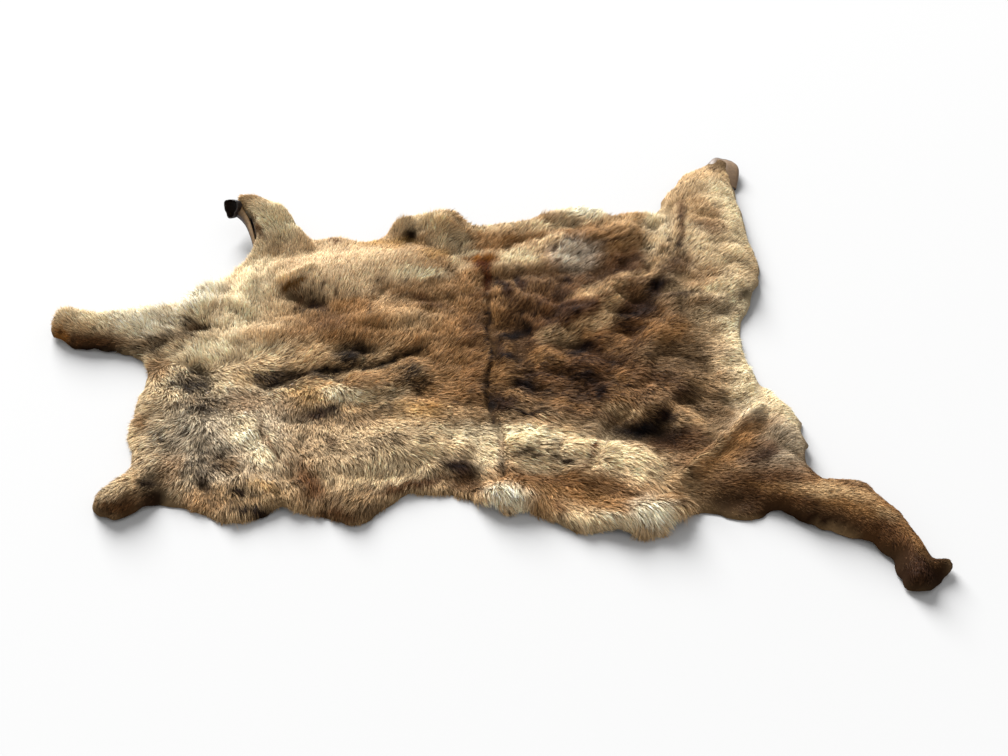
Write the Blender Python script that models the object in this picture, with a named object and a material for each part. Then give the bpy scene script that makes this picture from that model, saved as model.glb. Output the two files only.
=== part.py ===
"""A reindeer hide, tanned with its fur on, lying fur side up in soft folds.

The hide is one piece of skin: the body with four leg skins and the neck strip, cut flat and
never sewn. It is modelled as it is made. A flat cut comes first, from cross sections of the
body and of each leg skin. The folds are laid into it next, as soft ridges and hollows over
short lines. The solid reaches from the underside of the skin to the tips of the fur.

Metres, +Z up. The hide lies along X with its neck towards -X, on the plane Z = 0. The origin
is under the middle of its bounding box.
"""

import bmesh
import bpy
import numpy as np

# Driving dimensions
GRID = 0.0225  # spacing of the surface's points
PILE = 0.024  # skin and fur together, away from the edge
EDGE_PILE = 0.011  # the same at the very edge, where the fur leans outwards
EDGE_ROLL = 0.055  # how far in from the edge the fur reaches its full depth
LEAST_PILE = 0.010  # the fur is never parted deeper than this
JOIN = 0.035  # how softly a leg skin grows out of the body
SLACK = 0.005  # folds lower than this leave the skin flat on the ground
FLAT_REACH = (-0.96, 0.96, -0.76, 0.76)  # low x, high x, low y, high y of the cutting table
SNAP_STEPS = 6  # how often the rim's points are drawn onto the outline
LEAST_STEEPNESS = 0.05  # keeps a snapping point from leaping where the outline turns sharply
WASTE = -0.4 * GRID  # grid points deeper than this in the waste are cut away
SMOOTH_STEPS = 12  # rounds of evening out the points
INNER_EVENING = 0.4  # how far an inner point moves towards its neighbours in one round
RIM_EVENING = 0.3  # the same for a point on the rim
NUDGE = 0.001  # the step over which a slope is measured

FUR_COLOUR = (0.30, 0.20, 0.11, 1.0)
FUR_ROUGHNESS = 0.85


def table(columns, rows):
    """Rows of numbers with a name for each column."""
    return np.array(rows, dtype=[(name, float) for name in columns.split()])


# The body's cross sections, from the neck to the rump: where its near and far edges run.
BODY = table(
    "x near far",
    [
        (-0.640, -0.250, -0.180),
        (-0.626, -0.305, -0.070),
        (-0.607, -0.350, 0.072),
        (-0.572, -0.403, 0.166),
        (-0.530, -0.447, 0.203),
        (-0.490, -0.457, 0.270),
        (-0.460, -0.473, 0.323),
        (-0.410, -0.495, 0.355),
        (-0.360, -0.487, 0.364),
        (-0.320, -0.465, 0.355),
        (-0.280, -0.473, 0.366),
        (-0.240, -0.481, 0.352),
        (-0.190, -0.497, 0.356),
        (-0.160, -0.487, 0.377),
        (-0.120, -0.441, 0.413),
        (-0.070, -0.423, 0.421),
        (-0.030, -0.425, 0.407),
        (0.010, -0.439, 0.391),
        (0.050, -0.455, 0.401),
        (0.080, -0.473, 0.409),
        (0.120, -0.467, 0.419),
        (0.160, -0.491, 0.441),
        (0.200, -0.519, 0.465),
        (0.240, -0.523, 0.475),
        (0.280, -0.521, 0.461),
        (0.320, -0.529, 0.443),
        (0.360, -0.519, 0.455),
        (0.400, -0.481, 0.455),
        (0.440, -0.469, 0.435),
        (0.480, -0.477, 0.365),
        (0.520, -0.485, 0.245),
        (0.558, -0.465, 0.085),
        (0.577, -0.435, -0.090),
        (0.604, -0.390, -0.155),
        (0.634, -0.340, -0.200),
        (0.651, -0.305, -0.235),
    ],
)

# The leg skins and the neck strip, from the body outwards: points along the middle line, half
# the width there, how high the skin arches over the ground like a half tube, and how far its
# middle line is lifted besides.
LIMB_COLUMNS = "x y half_width arch lift"
LIMBS = {
    "neck_strip": table(
        LIMB_COLUMNS,
        [
            (-0.560, 0.010, 0.120, 0.010, 0.000),
            (-0.660, 0.031, 0.074, 0.022, 0.000),
            (-0.720, 0.027, 0.059, 0.030, 0.000),
            (-0.770, 0.029, 0.052, 0.032, 0.000),
            (-0.812, 0.043, 0.046, 0.030, 0.006),
        ],
    ),
    "foreleg_near": table(
        LIMB_COLUMNS,
        [
            (-0.510, -0.335, 0.100, 0.006, 0.000),
            (-0.575, -0.403, 0.056, 0.020, 0.000),
            (-0.620, -0.447, 0.042, 0.026, 0.000),
        ],
    ),
    "foreleg_far": table(
        LIMB_COLUMNS,
        [
            (-0.400, 0.265, 0.085, 0.010, 0.000),
            (-0.412, 0.330, 0.055, 0.018, 0.022),
            (-0.432, 0.376, 0.045, 0.022, 0.046),
            (-0.472, 0.402, 0.033, 0.016, 0.058),
            (-0.514, 0.406, 0.026, 0.010, 0.062),
        ],
    ),
    "hind_leg_far": table(
        LIMB_COLUMNS,
        [
            (0.470, 0.135, 0.128, 0.020, 0.000),
            (0.518, 0.260, 0.122, 0.034, 0.000),
            (0.526, 0.375, 0.102, 0.040, 0.000),
            (0.530, 0.470, 0.093, 0.036, 0.000),
            (0.543, 0.535, 0.076, 0.030, 0.000),
            (0.586, 0.620, 0.038, 0.012, 0.008),
        ],
    ),
    "hind_leg_near": table(
        LIMB_COLUMNS,
        [
            (0.480, -0.335, 0.140, 0.012, 0.000),
            (0.552, -0.364, 0.082, 0.030, 0.000),
            (0.636, -0.446, 0.057, 0.036, 0.000),
            (0.700, -0.458, 0.065, 0.040, 0.000),
            (0.753, -0.508, 0.047, 0.036, 0.000),
            (0.788, -0.573, 0.035, 0.028, 0.000),
            (0.786, -0.628, 0.030, 0.022, 0.000),
        ],
    ),
    "dewclaw": table(
        LIMB_COLUMNS,
        [
            (0.796, -0.608, 0.026, 0.012, 0.000),
            (0.844, -0.594, 0.016, 0.008, 0.008),
        ],
    ),
}

# The folds: each is a soft ridge along a line from its start to its end, or a hollow where the
# height is negative. The half width is where the fold has sunk to about a third of its height.
FOLDS = table(
    "x0 y0 x1 y1 half_width height",
    [
        # far hind leg: the swollen thigh, the shank and the crease beside the body
        (0.500, 0.270, 0.570, 0.160, 0.070, 0.030),
        (0.520, 0.470, 0.510, 0.345, 0.050, 0.014),
        (0.455, 0.460, 0.440, 0.300, 0.026, 0.014),
        (0.420, 0.370, 0.430, 0.180, 0.036, -0.016),
        # near hind leg: the rim of the rump, its hump and the sharp ridge across its root
        (0.560, -0.115, 0.605, -0.225, 0.032, 0.022),
        (0.600, -0.285, 0.615, -0.320, 0.045, 0.034),
        (0.400, -0.405, 0.565, -0.232, 0.020, 0.024),
        (0.400, -0.435, 0.470, -0.455, 0.030, -0.010),
        # loin and rump, all small cushions and hollows
        (0.190, 0.020, 0.300, 0.130, 0.034, 0.022),
        (0.300, 0.140, 0.390, 0.210, 0.034, 0.018),
        (0.350, -0.050, 0.450, 0.060, 0.042, 0.026),
        (0.080, 0.125, 0.190, 0.080, 0.034, 0.014),
        (0.150, -0.060, 0.230, -0.100, 0.038, 0.016),
        (0.290, -0.170, 0.350, -0.205, 0.042, 0.024),
        (0.390, -0.100, 0.500, -0.150, 0.040, 0.016),
        (0.100, -0.215, 0.200, -0.235, 0.034, 0.014),
        (0.210, 0.320, 0.370, 0.350, 0.040, 0.020),
        (0.300, -0.265, 0.400, -0.285, 0.034, -0.014),
        (0.350, 0.130, 0.470, 0.170, 0.034, -0.014),
        (0.100, 0.030, 0.120, -0.060, 0.028, -0.012),
        (0.220, -0.020, 0.270, -0.050, 0.026, -0.012),
        (0.120, -0.140, 0.170, -0.160, 0.026, -0.010),
        (0.230, -0.160, 0.260, -0.200, 0.026, -0.010),
        (0.430, -0.190, 0.460, -0.220, 0.026, -0.010),
        (0.220, 0.220, 0.330, 0.240, 0.034, -0.010),
        # far edge: the curled lip and the rolled edge beside it
        (-0.145, 0.365, -0.040, 0.390, 0.036, 0.044),
        (-0.050, 0.350, 0.160, 0.395, 0.028, 0.014),
        (0.190, 0.420, 0.290, 0.435, 0.030, 0.016),
        # shoulder and withers
        (-0.360, 0.190, -0.130, 0.250, 0.080, 0.030),
        (-0.470, 0.100, -0.440, 0.230, 0.035, 0.014),
        (-0.640, 0.000, -0.540, 0.090, 0.035, 0.016),
        (-0.600, 0.010, -0.530, 0.015, 0.020, -0.008),
        (-0.360, 0.125, -0.300, 0.115, 0.030, -0.014),
        (-0.180, 0.150, -0.060, 0.100, 0.036, -0.008),
        (-0.330, -0.010, -0.090, 0.060, 0.050, 0.016),
        (-0.500, -0.030, -0.400, 0.010, 0.050, 0.014),
        (-0.390, -0.140, -0.300, -0.105, 0.020, -0.010),
        (-0.300, -0.105, -0.200, -0.080, 0.020, -0.011),
        (-0.200, -0.080, -0.100, -0.040, 0.018, -0.011),
        (-0.460, -0.250, -0.370, -0.320, 0.070, 0.026),
        (-0.580, -0.180, -0.530, -0.300, 0.040, 0.014),
        (-0.290, -0.180, -0.210, -0.160, 0.036, 0.014),
        (-0.200, -0.150, -0.080, -0.130, 0.036, 0.014),
        # belly: the fold across the loin, the near edge's cushions and the hollow between them
        (0.040, 0.260, 0.060, -0.010, 0.013, -0.009),
        (0.060, -0.010, 0.055, -0.190, 0.013, -0.009),
        (0.055, -0.190, 0.078, -0.375, 0.013, -0.009),
        (0.230, -0.360, 0.270, -0.300, 0.014, -0.008),
        (-0.230, -0.360, -0.080, -0.300, 0.055, 0.024),
        (-0.300, -0.250, -0.300, -0.380, 0.018, -0.006),
        (-0.420, -0.410, -0.310, -0.440, 0.035, 0.018),
        (-0.210, -0.440, -0.190, -0.470, 0.030, 0.014),
        (0.060, -0.440, 0.140, -0.430, 0.034, 0.022),
        (0.310, -0.490, 0.385, -0.470, 0.034, 0.026),
        (0.090, -0.320, 0.200, -0.330, 0.036, 0.020),
        (0.280, -0.330, 0.350, -0.360, 0.036, 0.018),
        (0.190, -0.475, 0.270, -0.490, 0.034, 0.014),
        (-0.040, -0.380, 0.020, -0.390, 0.030, -0.012),
        (-0.565, -0.400, -0.530, -0.450, 0.022, -0.012),
    ],
)


def smooth_through(at, stations, values):
    """A curve through the table's values, with the slope at each the mean of those beside it."""
    slope = np.gradient(values, stations)
    cell = np.clip(np.searchsorted(stations, at) - 1, 0, len(stations) - 2)
    width = stations[cell + 1] - stations[cell]
    t = np.clip((at - stations[cell]) / width, 0.0, 1.0)
    start, end = values[cell], values[cell + 1]
    rise, fall = slope[cell] * width, slope[cell + 1] * width
    bend = 3 * (end - start) - 2 * rise - fall
    turn = rise + fall - 2 * (end - start)
    return start + rise * t + bend * t**2 + turn * t**3


def along(x, y, x0, y0, x1, y1):
    """The distance to a line from one point to another, and how far along it the nearest point is."""
    dx, dy = x1 - x0, y1 - y0
    part = np.clip(((x - x0) * dx + (y - y0) * dy) / (dx * dx + dy * dy), 0.0, 1.0)
    return np.hypot(x - x0 - part * dx, y - y0 - part * dy), part


def body_inset(x, y):
    """How far inside the body's outline a point is, and negative outside it."""
    stations = BODY["x"]
    inset = np.minimum(x - stations[0], stations[-1] - x)
    for edge, side in (("far", 1.0), ("near", -1.0)):
        here = smooth_through(x, stations, BODY[edge])
        slope = (smooth_through(x + NUDGE, stations, BODY[edge]) - here) / NUDGE
        inset = np.minimum(inset, side * (here - y) / np.hypot(1.0, slope))
    return inset


def limb_inset(x, y, limb):
    """How far inside a leg skin a point is, and how high the skin is held there."""
    inset = np.full(np.shape(x), -np.inf)
    height = np.zeros(np.shape(x))
    for start, end in zip(limb[:-1], limb[1:]):
        away, part = along(x, y, start["x"], start["y"], end["x"], end["y"])
        here = {
            name: start[name] + part * (end[name] - start[name])
            for name in ("half_width", "arch", "lift")
        }
        closer = here["half_width"] - away > inset
        crown = np.clip(1.0 - (away / here["half_width"]) ** 2, 0.0, 1.0)
        held = here["arch"] * crown + here["lift"] * np.sqrt(crown)
        height = np.where(closer, held, height)
        inset = np.where(closer, here["half_width"] - away, inset)
    return inset, height


def blended(a, b, reach):
    """The larger of two insets, rounded where they are within reach of each other."""
    share = np.clip(0.5 + 0.5 * (a - b) / reach, 0.0, 1.0)
    return b + (a - b) * share + reach * share * (1.0 - share)


def cut(x, y):
    """How far inside the hide's whole outline a point is."""
    inset = body_inset(x, y)
    for limb in LIMBS.values():
        inset = blended(inset, limb_inset(x, y, limb)[0], JOIN)
    return inset


def folded(x, y):
    """The height of the folds laid into the hide, negative in a hollow."""
    height = np.zeros(np.shape(x))
    for fold in FOLDS:
        away, _ = along(x, y, fold["x0"], fold["y0"], fold["x1"], fold["y1"])
        height += fold["height"] * np.exp(-((away / fold["half_width"]) ** 2))
    return height


def underside(x, y):
    """The height of the skin over the ground, which is 0 where it lies flat."""
    lifted = np.clip(folded(x, y) - SLACK, 0.0, None)
    for limb in LIMBS.values():
        lifted = np.maximum(lifted, limb_inset(x, y, limb)[1])
    return lifted


def upper_side(x, y):
    """The height of the fur's tips over the ground."""
    full = np.clip(cut(x, y) / EDGE_ROLL, 0.0, 1.0)
    pile = EDGE_PILE + (PILE - EDGE_PILE) * np.sin(full * np.pi / 2)
    parted = np.clip(folded(x, y), -PILE, 0.0)
    return underside(x, y) + np.clip(pile + parted, LEAST_PILE, None)


def flat_cut():
    """The hide's outline filled with a grid of squares, flat, its rim drawn onto the outline."""
    low_x, high_x, low_y, high_y = FLAT_REACH
    columns = round((high_x - low_x) / GRID)
    rows = round((high_y - low_y) / GRID)
    bm = bmesh.new()
    bmesh.ops.create_grid(bm, x_segments=columns, y_segments=rows, size=1.0)
    for vert in bm.verts:
        vert.co.x = low_x + (vert.co.x + 1.0) / 2 * columns * GRID
        vert.co.y = low_y + (vert.co.y + 1.0) / 2 * rows * GRID
    places = np.array([vert.co for vert in bm.verts])
    inset = cut(places[:, 0], places[:, 1])
    waste = [vert for vert, depth in zip(bm.verts, inset) if depth < WASTE]
    bmesh.ops.delete(bm, geom=waste, context="VERTS")
    loose = [vert for vert in bm.verts if not vert.link_faces]
    bmesh.ops.delete(bm, geom=loose, context="VERTS")
    draw_rim(bm)
    return bm


def draw_rim(bm):
    """Draws the rim's points onto the outline, and evens out the points behind them."""
    for _ in range(SMOOTH_STEPS):
        rim = [vert for vert in bm.verts if vert.is_boundary]
        inner = [vert for vert in bm.verts if not vert.is_boundary]
        bmesh.ops.smooth_vert(
            bm,
            verts=inner,
            factor=INNER_EVENING,
            use_axis_x=True,
            use_axis_y=True,
            use_axis_z=False,
        )
        middles = [middle_of_neighbours(vert) for vert in rim]
        for vert, middle in zip(rim, middles):
            vert.co.xy = vert.co.xy.lerp(middle, RIM_EVENING)
        for _ in range(SNAP_STEPS):
            x = np.array([vert.co.x for vert in rim])
            y = np.array([vert.co.y for vert in rim])
            depth = cut(x, y)
            over_x = (cut(x + NUDGE, y) - depth) / NUDGE
            over_y = (cut(x, y + NUDGE) - depth) / NUDGE
            steep = np.maximum(over_x**2 + over_y**2, LEAST_STEEPNESS)
            for vert, back_x, back_y in zip(rim, depth * over_x / steep, depth * over_y / steep):
                vert.co.x -= back_x
                vert.co.y -= back_y


def middle_of_neighbours(vert):
    """The middle of a rim point's two neighbours along the rim."""
    beside = [edge.other_vert(vert).co.xy for edge in vert.link_edges if edge.is_boundary]
    return sum(beside, start=beside[0] * 0.0) / len(beside)


def laid_hide():
    """The flat cut given its depth, folded and laid on the ground."""
    bm = flat_cut()
    under = set(bm.verts)
    bmesh.ops.extrude_face_region(bm, geom=bm.faces[:])
    for vert in bm.verts:
        raised = underside if vert in under else upper_side
        vert.co.z = float(raised(vert.co.x, vert.co.y))
    bmesh.ops.recalc_face_normals(bm, faces=bm.faces)
    places = np.array([vert.co for vert in bm.verts])
    middle = (places.min(axis=0) + places.max(axis=0)) / 2
    bmesh.ops.translate(bm, verts=bm.verts, vec=(-middle[0], -middle[1], 0.0))
    mesh = bpy.data.meshes.new("hide")
    bm.to_mesh(mesh)
    bm.free()
    mesh.shade_smooth()
    return mesh


def fur():
    """Warm brown fur, matt all over."""
    material = bpy.data.materials.new("fur")
    material.use_nodes = True
    shader = material.node_tree.nodes["Principled BSDF"]
    shader.inputs["Base Color"].default_value = FUR_COLOUR
    shader.inputs["Roughness"].default_value = FUR_ROUGHNESS
    shader.inputs["Metallic"].default_value = 0.0
    return material


def clear_scene():
    for obj in list(bpy.data.objects):
        bpy.data.objects.remove(obj, do_unlink=True)


def main():
    clear_scene()
    mesh = laid_hide()
    mesh.materials.append(fur())
    hide = bpy.data.objects.new("hide", mesh)
    bpy.context.scene.collection.objects.link(hide)


main()
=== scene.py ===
# %% [markdown]
# # A reindeer hide, laid fur side up
#
# The hide is one tanned skin with its fur left on: the body, four leg skins and the neck strip,
# opened out flat and let down on the ground in soft folds. This lesson lays the bare skin first,
# grows a woolly undercoat on it, and then hundreds of thousands of hairs, combed the way they
# lie on the animal and coloured patch by patch.

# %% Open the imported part
import math

import bpy
import numpy as np
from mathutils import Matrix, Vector


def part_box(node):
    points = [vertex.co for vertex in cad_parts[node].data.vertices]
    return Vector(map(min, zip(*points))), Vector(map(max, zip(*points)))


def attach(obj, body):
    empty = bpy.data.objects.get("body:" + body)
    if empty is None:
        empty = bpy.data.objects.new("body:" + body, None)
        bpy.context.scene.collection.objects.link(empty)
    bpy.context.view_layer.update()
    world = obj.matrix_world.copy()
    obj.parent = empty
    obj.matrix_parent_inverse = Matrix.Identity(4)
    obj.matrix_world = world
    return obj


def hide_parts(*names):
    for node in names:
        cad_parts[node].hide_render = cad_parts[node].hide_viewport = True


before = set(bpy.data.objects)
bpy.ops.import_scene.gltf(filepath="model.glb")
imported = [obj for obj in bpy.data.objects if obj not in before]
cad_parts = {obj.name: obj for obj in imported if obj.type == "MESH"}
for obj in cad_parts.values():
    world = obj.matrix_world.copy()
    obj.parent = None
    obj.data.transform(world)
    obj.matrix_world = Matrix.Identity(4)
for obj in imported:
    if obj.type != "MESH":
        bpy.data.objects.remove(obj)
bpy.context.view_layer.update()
hide_low, hide_high = (np.array(corner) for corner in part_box("hide"))
print("hide measures", np.round(hide_high - hide_low, 3), "m")

# %% [markdown]
# ## The flat cut
#
# A furrier describes a skin by how wide it is at each place along the back, and the leg skins as
# strips that leave the body. The same is done here, with a table of cross sections for the body
# and one short table for each strip. Tables of this kind are easy to correct by eye. The
# cushions and creases that the hide is laid in are a third table, each row a soft ridge or
# hollow along a short line.

# %% Tables of the cut and its folds


def table(columns, rows):
    """Rows of numbers, and of words where the first row has one, with a name for each column."""
    kinds = ["U20" if isinstance(value, str) else float for value in rows[0]]
    return np.array(rows, dtype=list(zip(columns.split(), kinds)))


BODY = table(
    "x near far",
    [
        (-0.640, -0.250, -0.180),
        (-0.626, -0.305, -0.070),
        (-0.607, -0.350, 0.072),
        (-0.572, -0.403, 0.166),
        (-0.530, -0.447, 0.203),
        (-0.490, -0.457, 0.270),
        (-0.460, -0.473, 0.323),
        (-0.410, -0.495, 0.355),
        (-0.360, -0.487, 0.364),
        (-0.320, -0.465, 0.355),
        (-0.280, -0.473, 0.366),
        (-0.240, -0.481, 0.352),
        (-0.190, -0.497, 0.356),
        (-0.160, -0.487, 0.377),
        (-0.120, -0.441, 0.413),
        (-0.070, -0.423, 0.421),
        (-0.030, -0.425, 0.407),
        (0.010, -0.439, 0.391),
        (0.050, -0.455, 0.401),
        (0.080, -0.473, 0.409),
        (0.120, -0.467, 0.419),
        (0.160, -0.491, 0.441),
        (0.200, -0.519, 0.465),
        (0.240, -0.523, 0.475),
        (0.280, -0.521, 0.461),
        (0.320, -0.529, 0.443),
        (0.360, -0.519, 0.455),
        (0.400, -0.481, 0.455),
        (0.440, -0.469, 0.435),
        (0.480, -0.477, 0.365),
        (0.520, -0.485, 0.245),
        (0.558, -0.465, 0.085),
        (0.577, -0.435, -0.090),
        (0.604, -0.390, -0.155),
        (0.634, -0.340, -0.200),
        (0.651, -0.305, -0.235),
    ],
)

LIMB_COLUMNS = "x y half_width arch lift"
LIMBS = {
    "neck_strip": table(
        LIMB_COLUMNS,
        [
            (-0.560, 0.010, 0.120, 0.010, 0.000),
            (-0.660, 0.031, 0.074, 0.022, 0.000),
            (-0.720, 0.027, 0.059, 0.030, 0.000),
            (-0.770, 0.029, 0.052, 0.032, 0.000),
            (-0.812, 0.043, 0.046, 0.030, 0.006),
        ],
    ),
    "foreleg_near": table(
        LIMB_COLUMNS,
        [
            (-0.510, -0.335, 0.100, 0.006, 0.000),
            (-0.575, -0.403, 0.056, 0.020, 0.000),
            (-0.620, -0.447, 0.042, 0.026, 0.000),
        ],
    ),
    "foreleg_far": table(
        LIMB_COLUMNS,
        [
            (-0.400, 0.265, 0.085, 0.010, 0.000),
            (-0.416, 0.330, 0.058, 0.018, 0.022),
            (-0.436, 0.374, 0.047, 0.022, 0.046),
            (-0.472, 0.400, 0.031, 0.016, 0.058),
            (-0.500, 0.406, 0.021, 0.010, 0.062),
        ],
    ),
    "hind_leg_far": table(
        LIMB_COLUMNS,
        [
            (0.470, 0.135, 0.128, 0.020, 0.000),
            (0.518, 0.260, 0.122, 0.034, 0.000),
            (0.526, 0.375, 0.102, 0.040, 0.000),
            (0.530, 0.470, 0.093, 0.036, 0.000),
            (0.543, 0.535, 0.076, 0.030, 0.000),
            (0.586, 0.620, 0.038, 0.012, 0.008),
        ],
    ),
    "hind_leg_near": table(
        LIMB_COLUMNS,
        [
            (0.480, -0.335, 0.140, 0.012, 0.000),
            (0.552, -0.364, 0.082, 0.030, 0.000),
            (0.636, -0.446, 0.057, 0.036, 0.000),
            (0.700, -0.458, 0.065, 0.040, 0.000),
            (0.753, -0.508, 0.047, 0.036, 0.000),
            (0.788, -0.573, 0.035, 0.028, 0.000),
            (0.786, -0.628, 0.030, 0.022, 0.000),
        ],
    ),
    "dewclaw": table(
        LIMB_COLUMNS,
        [
            (0.796, -0.608, 0.026, 0.012, 0.000),
            (0.844, -0.594, 0.016, 0.008, 0.008),
        ],
    ),
}

FOLDS = table(
    "x0 y0 x1 y1 half_width height",
    [
        # far hind leg: the swollen thigh, the shank and the crease beside the body
        (0.500, 0.270, 0.570, 0.160, 0.070, 0.030),
        (0.520, 0.470, 0.510, 0.345, 0.050, 0.014),
        (0.455, 0.460, 0.440, 0.300, 0.026, 0.014),
        (0.420, 0.370, 0.430, 0.180, 0.036, -0.016),
        # near hind leg: the rim of the rump, its hump and the sharp ridge across its root
        (0.560, -0.115, 0.605, -0.225, 0.032, 0.022),
        (0.600, -0.285, 0.615, -0.320, 0.045, 0.034),
        (0.400, -0.405, 0.565, -0.232, 0.020, 0.024),
        (0.400, -0.435, 0.470, -0.455, 0.030, -0.010),
        # loin and rump, all small cushions and hollows
        (0.190, 0.020, 0.300, 0.130, 0.034, 0.022),
        (0.300, 0.140, 0.390, 0.210, 0.034, 0.018),
        (0.350, -0.050, 0.450, 0.060, 0.042, 0.026),
        (0.080, 0.125, 0.190, 0.080, 0.034, 0.014),
        (0.150, -0.060, 0.230, -0.100, 0.038, 0.016),
        (0.290, -0.170, 0.350, -0.205, 0.042, 0.024),
        (0.390, -0.100, 0.500, -0.150, 0.040, 0.016),
        (0.100, -0.215, 0.200, -0.235, 0.034, 0.014),
        (0.210, 0.320, 0.370, 0.350, 0.040, 0.020),
        (0.300, -0.265, 0.400, -0.285, 0.034, -0.014),
        (0.350, 0.130, 0.470, 0.170, 0.034, -0.014),
        (0.100, 0.030, 0.120, -0.060, 0.028, -0.012),
        (0.220, -0.020, 0.270, -0.050, 0.026, -0.012),
        (0.120, -0.140, 0.170, -0.160, 0.026, -0.010),
        (0.230, -0.160, 0.260, -0.200, 0.026, -0.010),
        (0.430, -0.190, 0.460, -0.220, 0.026, -0.010),
        (0.220, 0.220, 0.330, 0.240, 0.034, -0.010),
        # far edge: the curled lip and the rolled edge beside it
        (-0.145, 0.365, -0.040, 0.390, 0.036, 0.044),
        (-0.050, 0.350, 0.160, 0.395, 0.028, 0.014),
        (0.190, 0.420, 0.290, 0.435, 0.030, 0.016),
        # shoulder and withers
        (-0.360, 0.190, -0.130, 0.250, 0.080, 0.030),
        (-0.470, 0.100, -0.440, 0.230, 0.035, 0.014),
        (-0.640, 0.000, -0.540, 0.090, 0.035, 0.016),
        (-0.600, 0.010, -0.530, 0.015, 0.020, -0.008),
        (-0.360, 0.125, -0.300, 0.115, 0.030, -0.014),
        (-0.180, 0.150, -0.060, 0.100, 0.036, -0.008),
        (-0.330, -0.010, -0.090, 0.060, 0.050, 0.016),
        (-0.500, -0.030, -0.400, 0.010, 0.050, 0.014),
        (-0.390, -0.140, -0.300, -0.105, 0.020, -0.010),
        (-0.300, -0.105, -0.200, -0.080, 0.020, -0.011),
        (-0.200, -0.080, -0.100, -0.040, 0.018, -0.011),
        (-0.460, -0.250, -0.370, -0.320, 0.070, 0.026),
        (-0.580, -0.180, -0.530, -0.300, 0.040, 0.014),
        (-0.290, -0.180, -0.210, -0.160, 0.036, 0.014),
        (-0.200, -0.150, -0.080, -0.130, 0.036, 0.014),
        # belly: the fold across the loin, the near edge's cushions and the hollow between them
        (0.040, 0.260, 0.060, -0.010, 0.013, -0.009),
        (0.060, -0.010, 0.055, -0.190, 0.013, -0.009),
        (0.055, -0.190, 0.078, -0.375, 0.013, -0.009),
        (0.230, -0.360, 0.270, -0.300, 0.014, -0.008),
        (-0.230, -0.360, -0.080, -0.300, 0.055, 0.024),
        (-0.300, -0.250, -0.300, -0.380, 0.018, -0.006),
        (-0.420, -0.410, -0.310, -0.440, 0.035, 0.018),
        (-0.210, -0.440, -0.190, -0.470, 0.030, 0.014),
        (0.060, -0.440, 0.140, -0.430, 0.034, 0.022),
        (0.310, -0.490, 0.385, -0.470, 0.034, 0.026),
        (0.090, -0.320, 0.200, -0.330, 0.036, 0.020),
        (0.280, -0.330, 0.350, -0.360, 0.036, 0.018),
        (0.190, -0.475, 0.270, -0.490, 0.034, 0.014),
        (-0.040, -0.380, 0.020, -0.390, 0.030, -0.012),
        (-0.565, -0.400, -0.530, -0.450, 0.022, -0.012),
    ],
)
print(len(BODY), "cross sections,", len(LIMBS), "strips,", len(FOLDS), "folds")

# %% [markdown]
# ### From tables to one outline
#
# The outline is kept as a depth: how far inside the cut a place is, negative in the waste. Two
# depths join smoothly where a leg skin leaves the body, which a list of outline points couldn't
# do. The hide's pile, its arched leg skins and its folds then follow from the same depth.

# %% Depth inside the cut
JOIN = 0.035  # how softly a leg skin grows out of the body
SLACK = 0.005  # folds lower than this leave the skin flat on the ground
NUDGE = 0.001  # the step over which a slope is measured
DROOP = 0.5  # the power by which a lifted strip sinks to its edges; 0 keeps them up


def smooth_through(at, stations, values):
    """A cubic through the table's values whose slope at each is the mean of those beside it."""
    slope = np.gradient(values, stations)
    cell = np.clip(np.searchsorted(stations, at) - 1, 0, len(stations) - 2)
    width = stations[cell + 1] - stations[cell]
    t = np.clip((at - stations[cell]) / width, 0.0, 1.0)
    start, end = values[cell], values[cell + 1]
    rise, fall = slope[cell] * width, slope[cell + 1] * width
    bend = 3 * (end - start) - 2 * rise - fall
    turn = rise + fall - 2 * (end - start)
    return start + rise * t + bend * t**2 + turn * t**3


def along(x, y, x0, y0, x1, y1):
    """The distance to a line, and how far along it the nearest point is, from 0 to 1."""
    dx, dy = x1 - x0, y1 - y0
    part = np.clip(((x - x0) * dx + (y - y0) * dy) / (dx * dx + dy * dy), 0.0, 1.0)
    return np.hypot(x - x0 - part * dx, y - y0 - part * dy), part


def body_depth(x, y):
    """The least distance to the near, far, neck and rump edges, with sloping edges allowed for."""
    stations = BODY["x"]
    depth = np.minimum(x - stations[0], stations[-1] - x)
    for edge, side in (("far", 1.0), ("near", -1.0)):
        here = smooth_through(x, stations, BODY[edge])
        slope = (smooth_through(x + NUDGE, stations, BODY[edge]) - here) / NUDGE
        depth = np.minimum(depth, side * (here - y) / np.hypot(1.0, slope))
    return depth


def limb_depth(x, y, limb, droop):
    """Half width less distance from the strip's middle line, and the height it is arched to.

    A lifted strip sinks towards its edges as its crown to the power droop."""
    depth = np.full(np.shape(x), -np.inf)
    height = np.zeros(np.shape(x))
    for start, end in zip(limb[:-1], limb[1:]):
        away, part = along(x, y, start["x"], start["y"], end["x"], end["y"])
        wide, arch, lift = (
            start[name] + part * (end[name] - start[name])
            for name in ("half_width", "arch", "lift")
        )
        closer = wide - away > depth
        crown = np.clip(1.0 - (away / wide) ** 2, 0.0, 1.0)
        height = np.where(closer, arch * crown + lift * crown**droop, height)
        depth = np.where(closer, wide - away, depth)
    return depth, height


def blended(a, b, reach):
    """The larger of two depths, rounded where they are within reach of each other."""
    share = np.clip(0.5 + 0.5 * (a - b) / reach, 0.0, 1.0)
    return b + (a - b) * share + reach * share * (1.0 - share)


def ridges(x, y, rows):
    """The sum of the rows' ridges: height times exp of minus (distance / half width) squared."""
    height = np.zeros(np.shape(x))
    for row in rows:
        away, _ = along(x, y, row["x0"], row["y0"], row["x1"], row["y1"])
        height += row["height"] * np.exp(-((away / row["half_width"]) ** 2))
    return height


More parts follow.
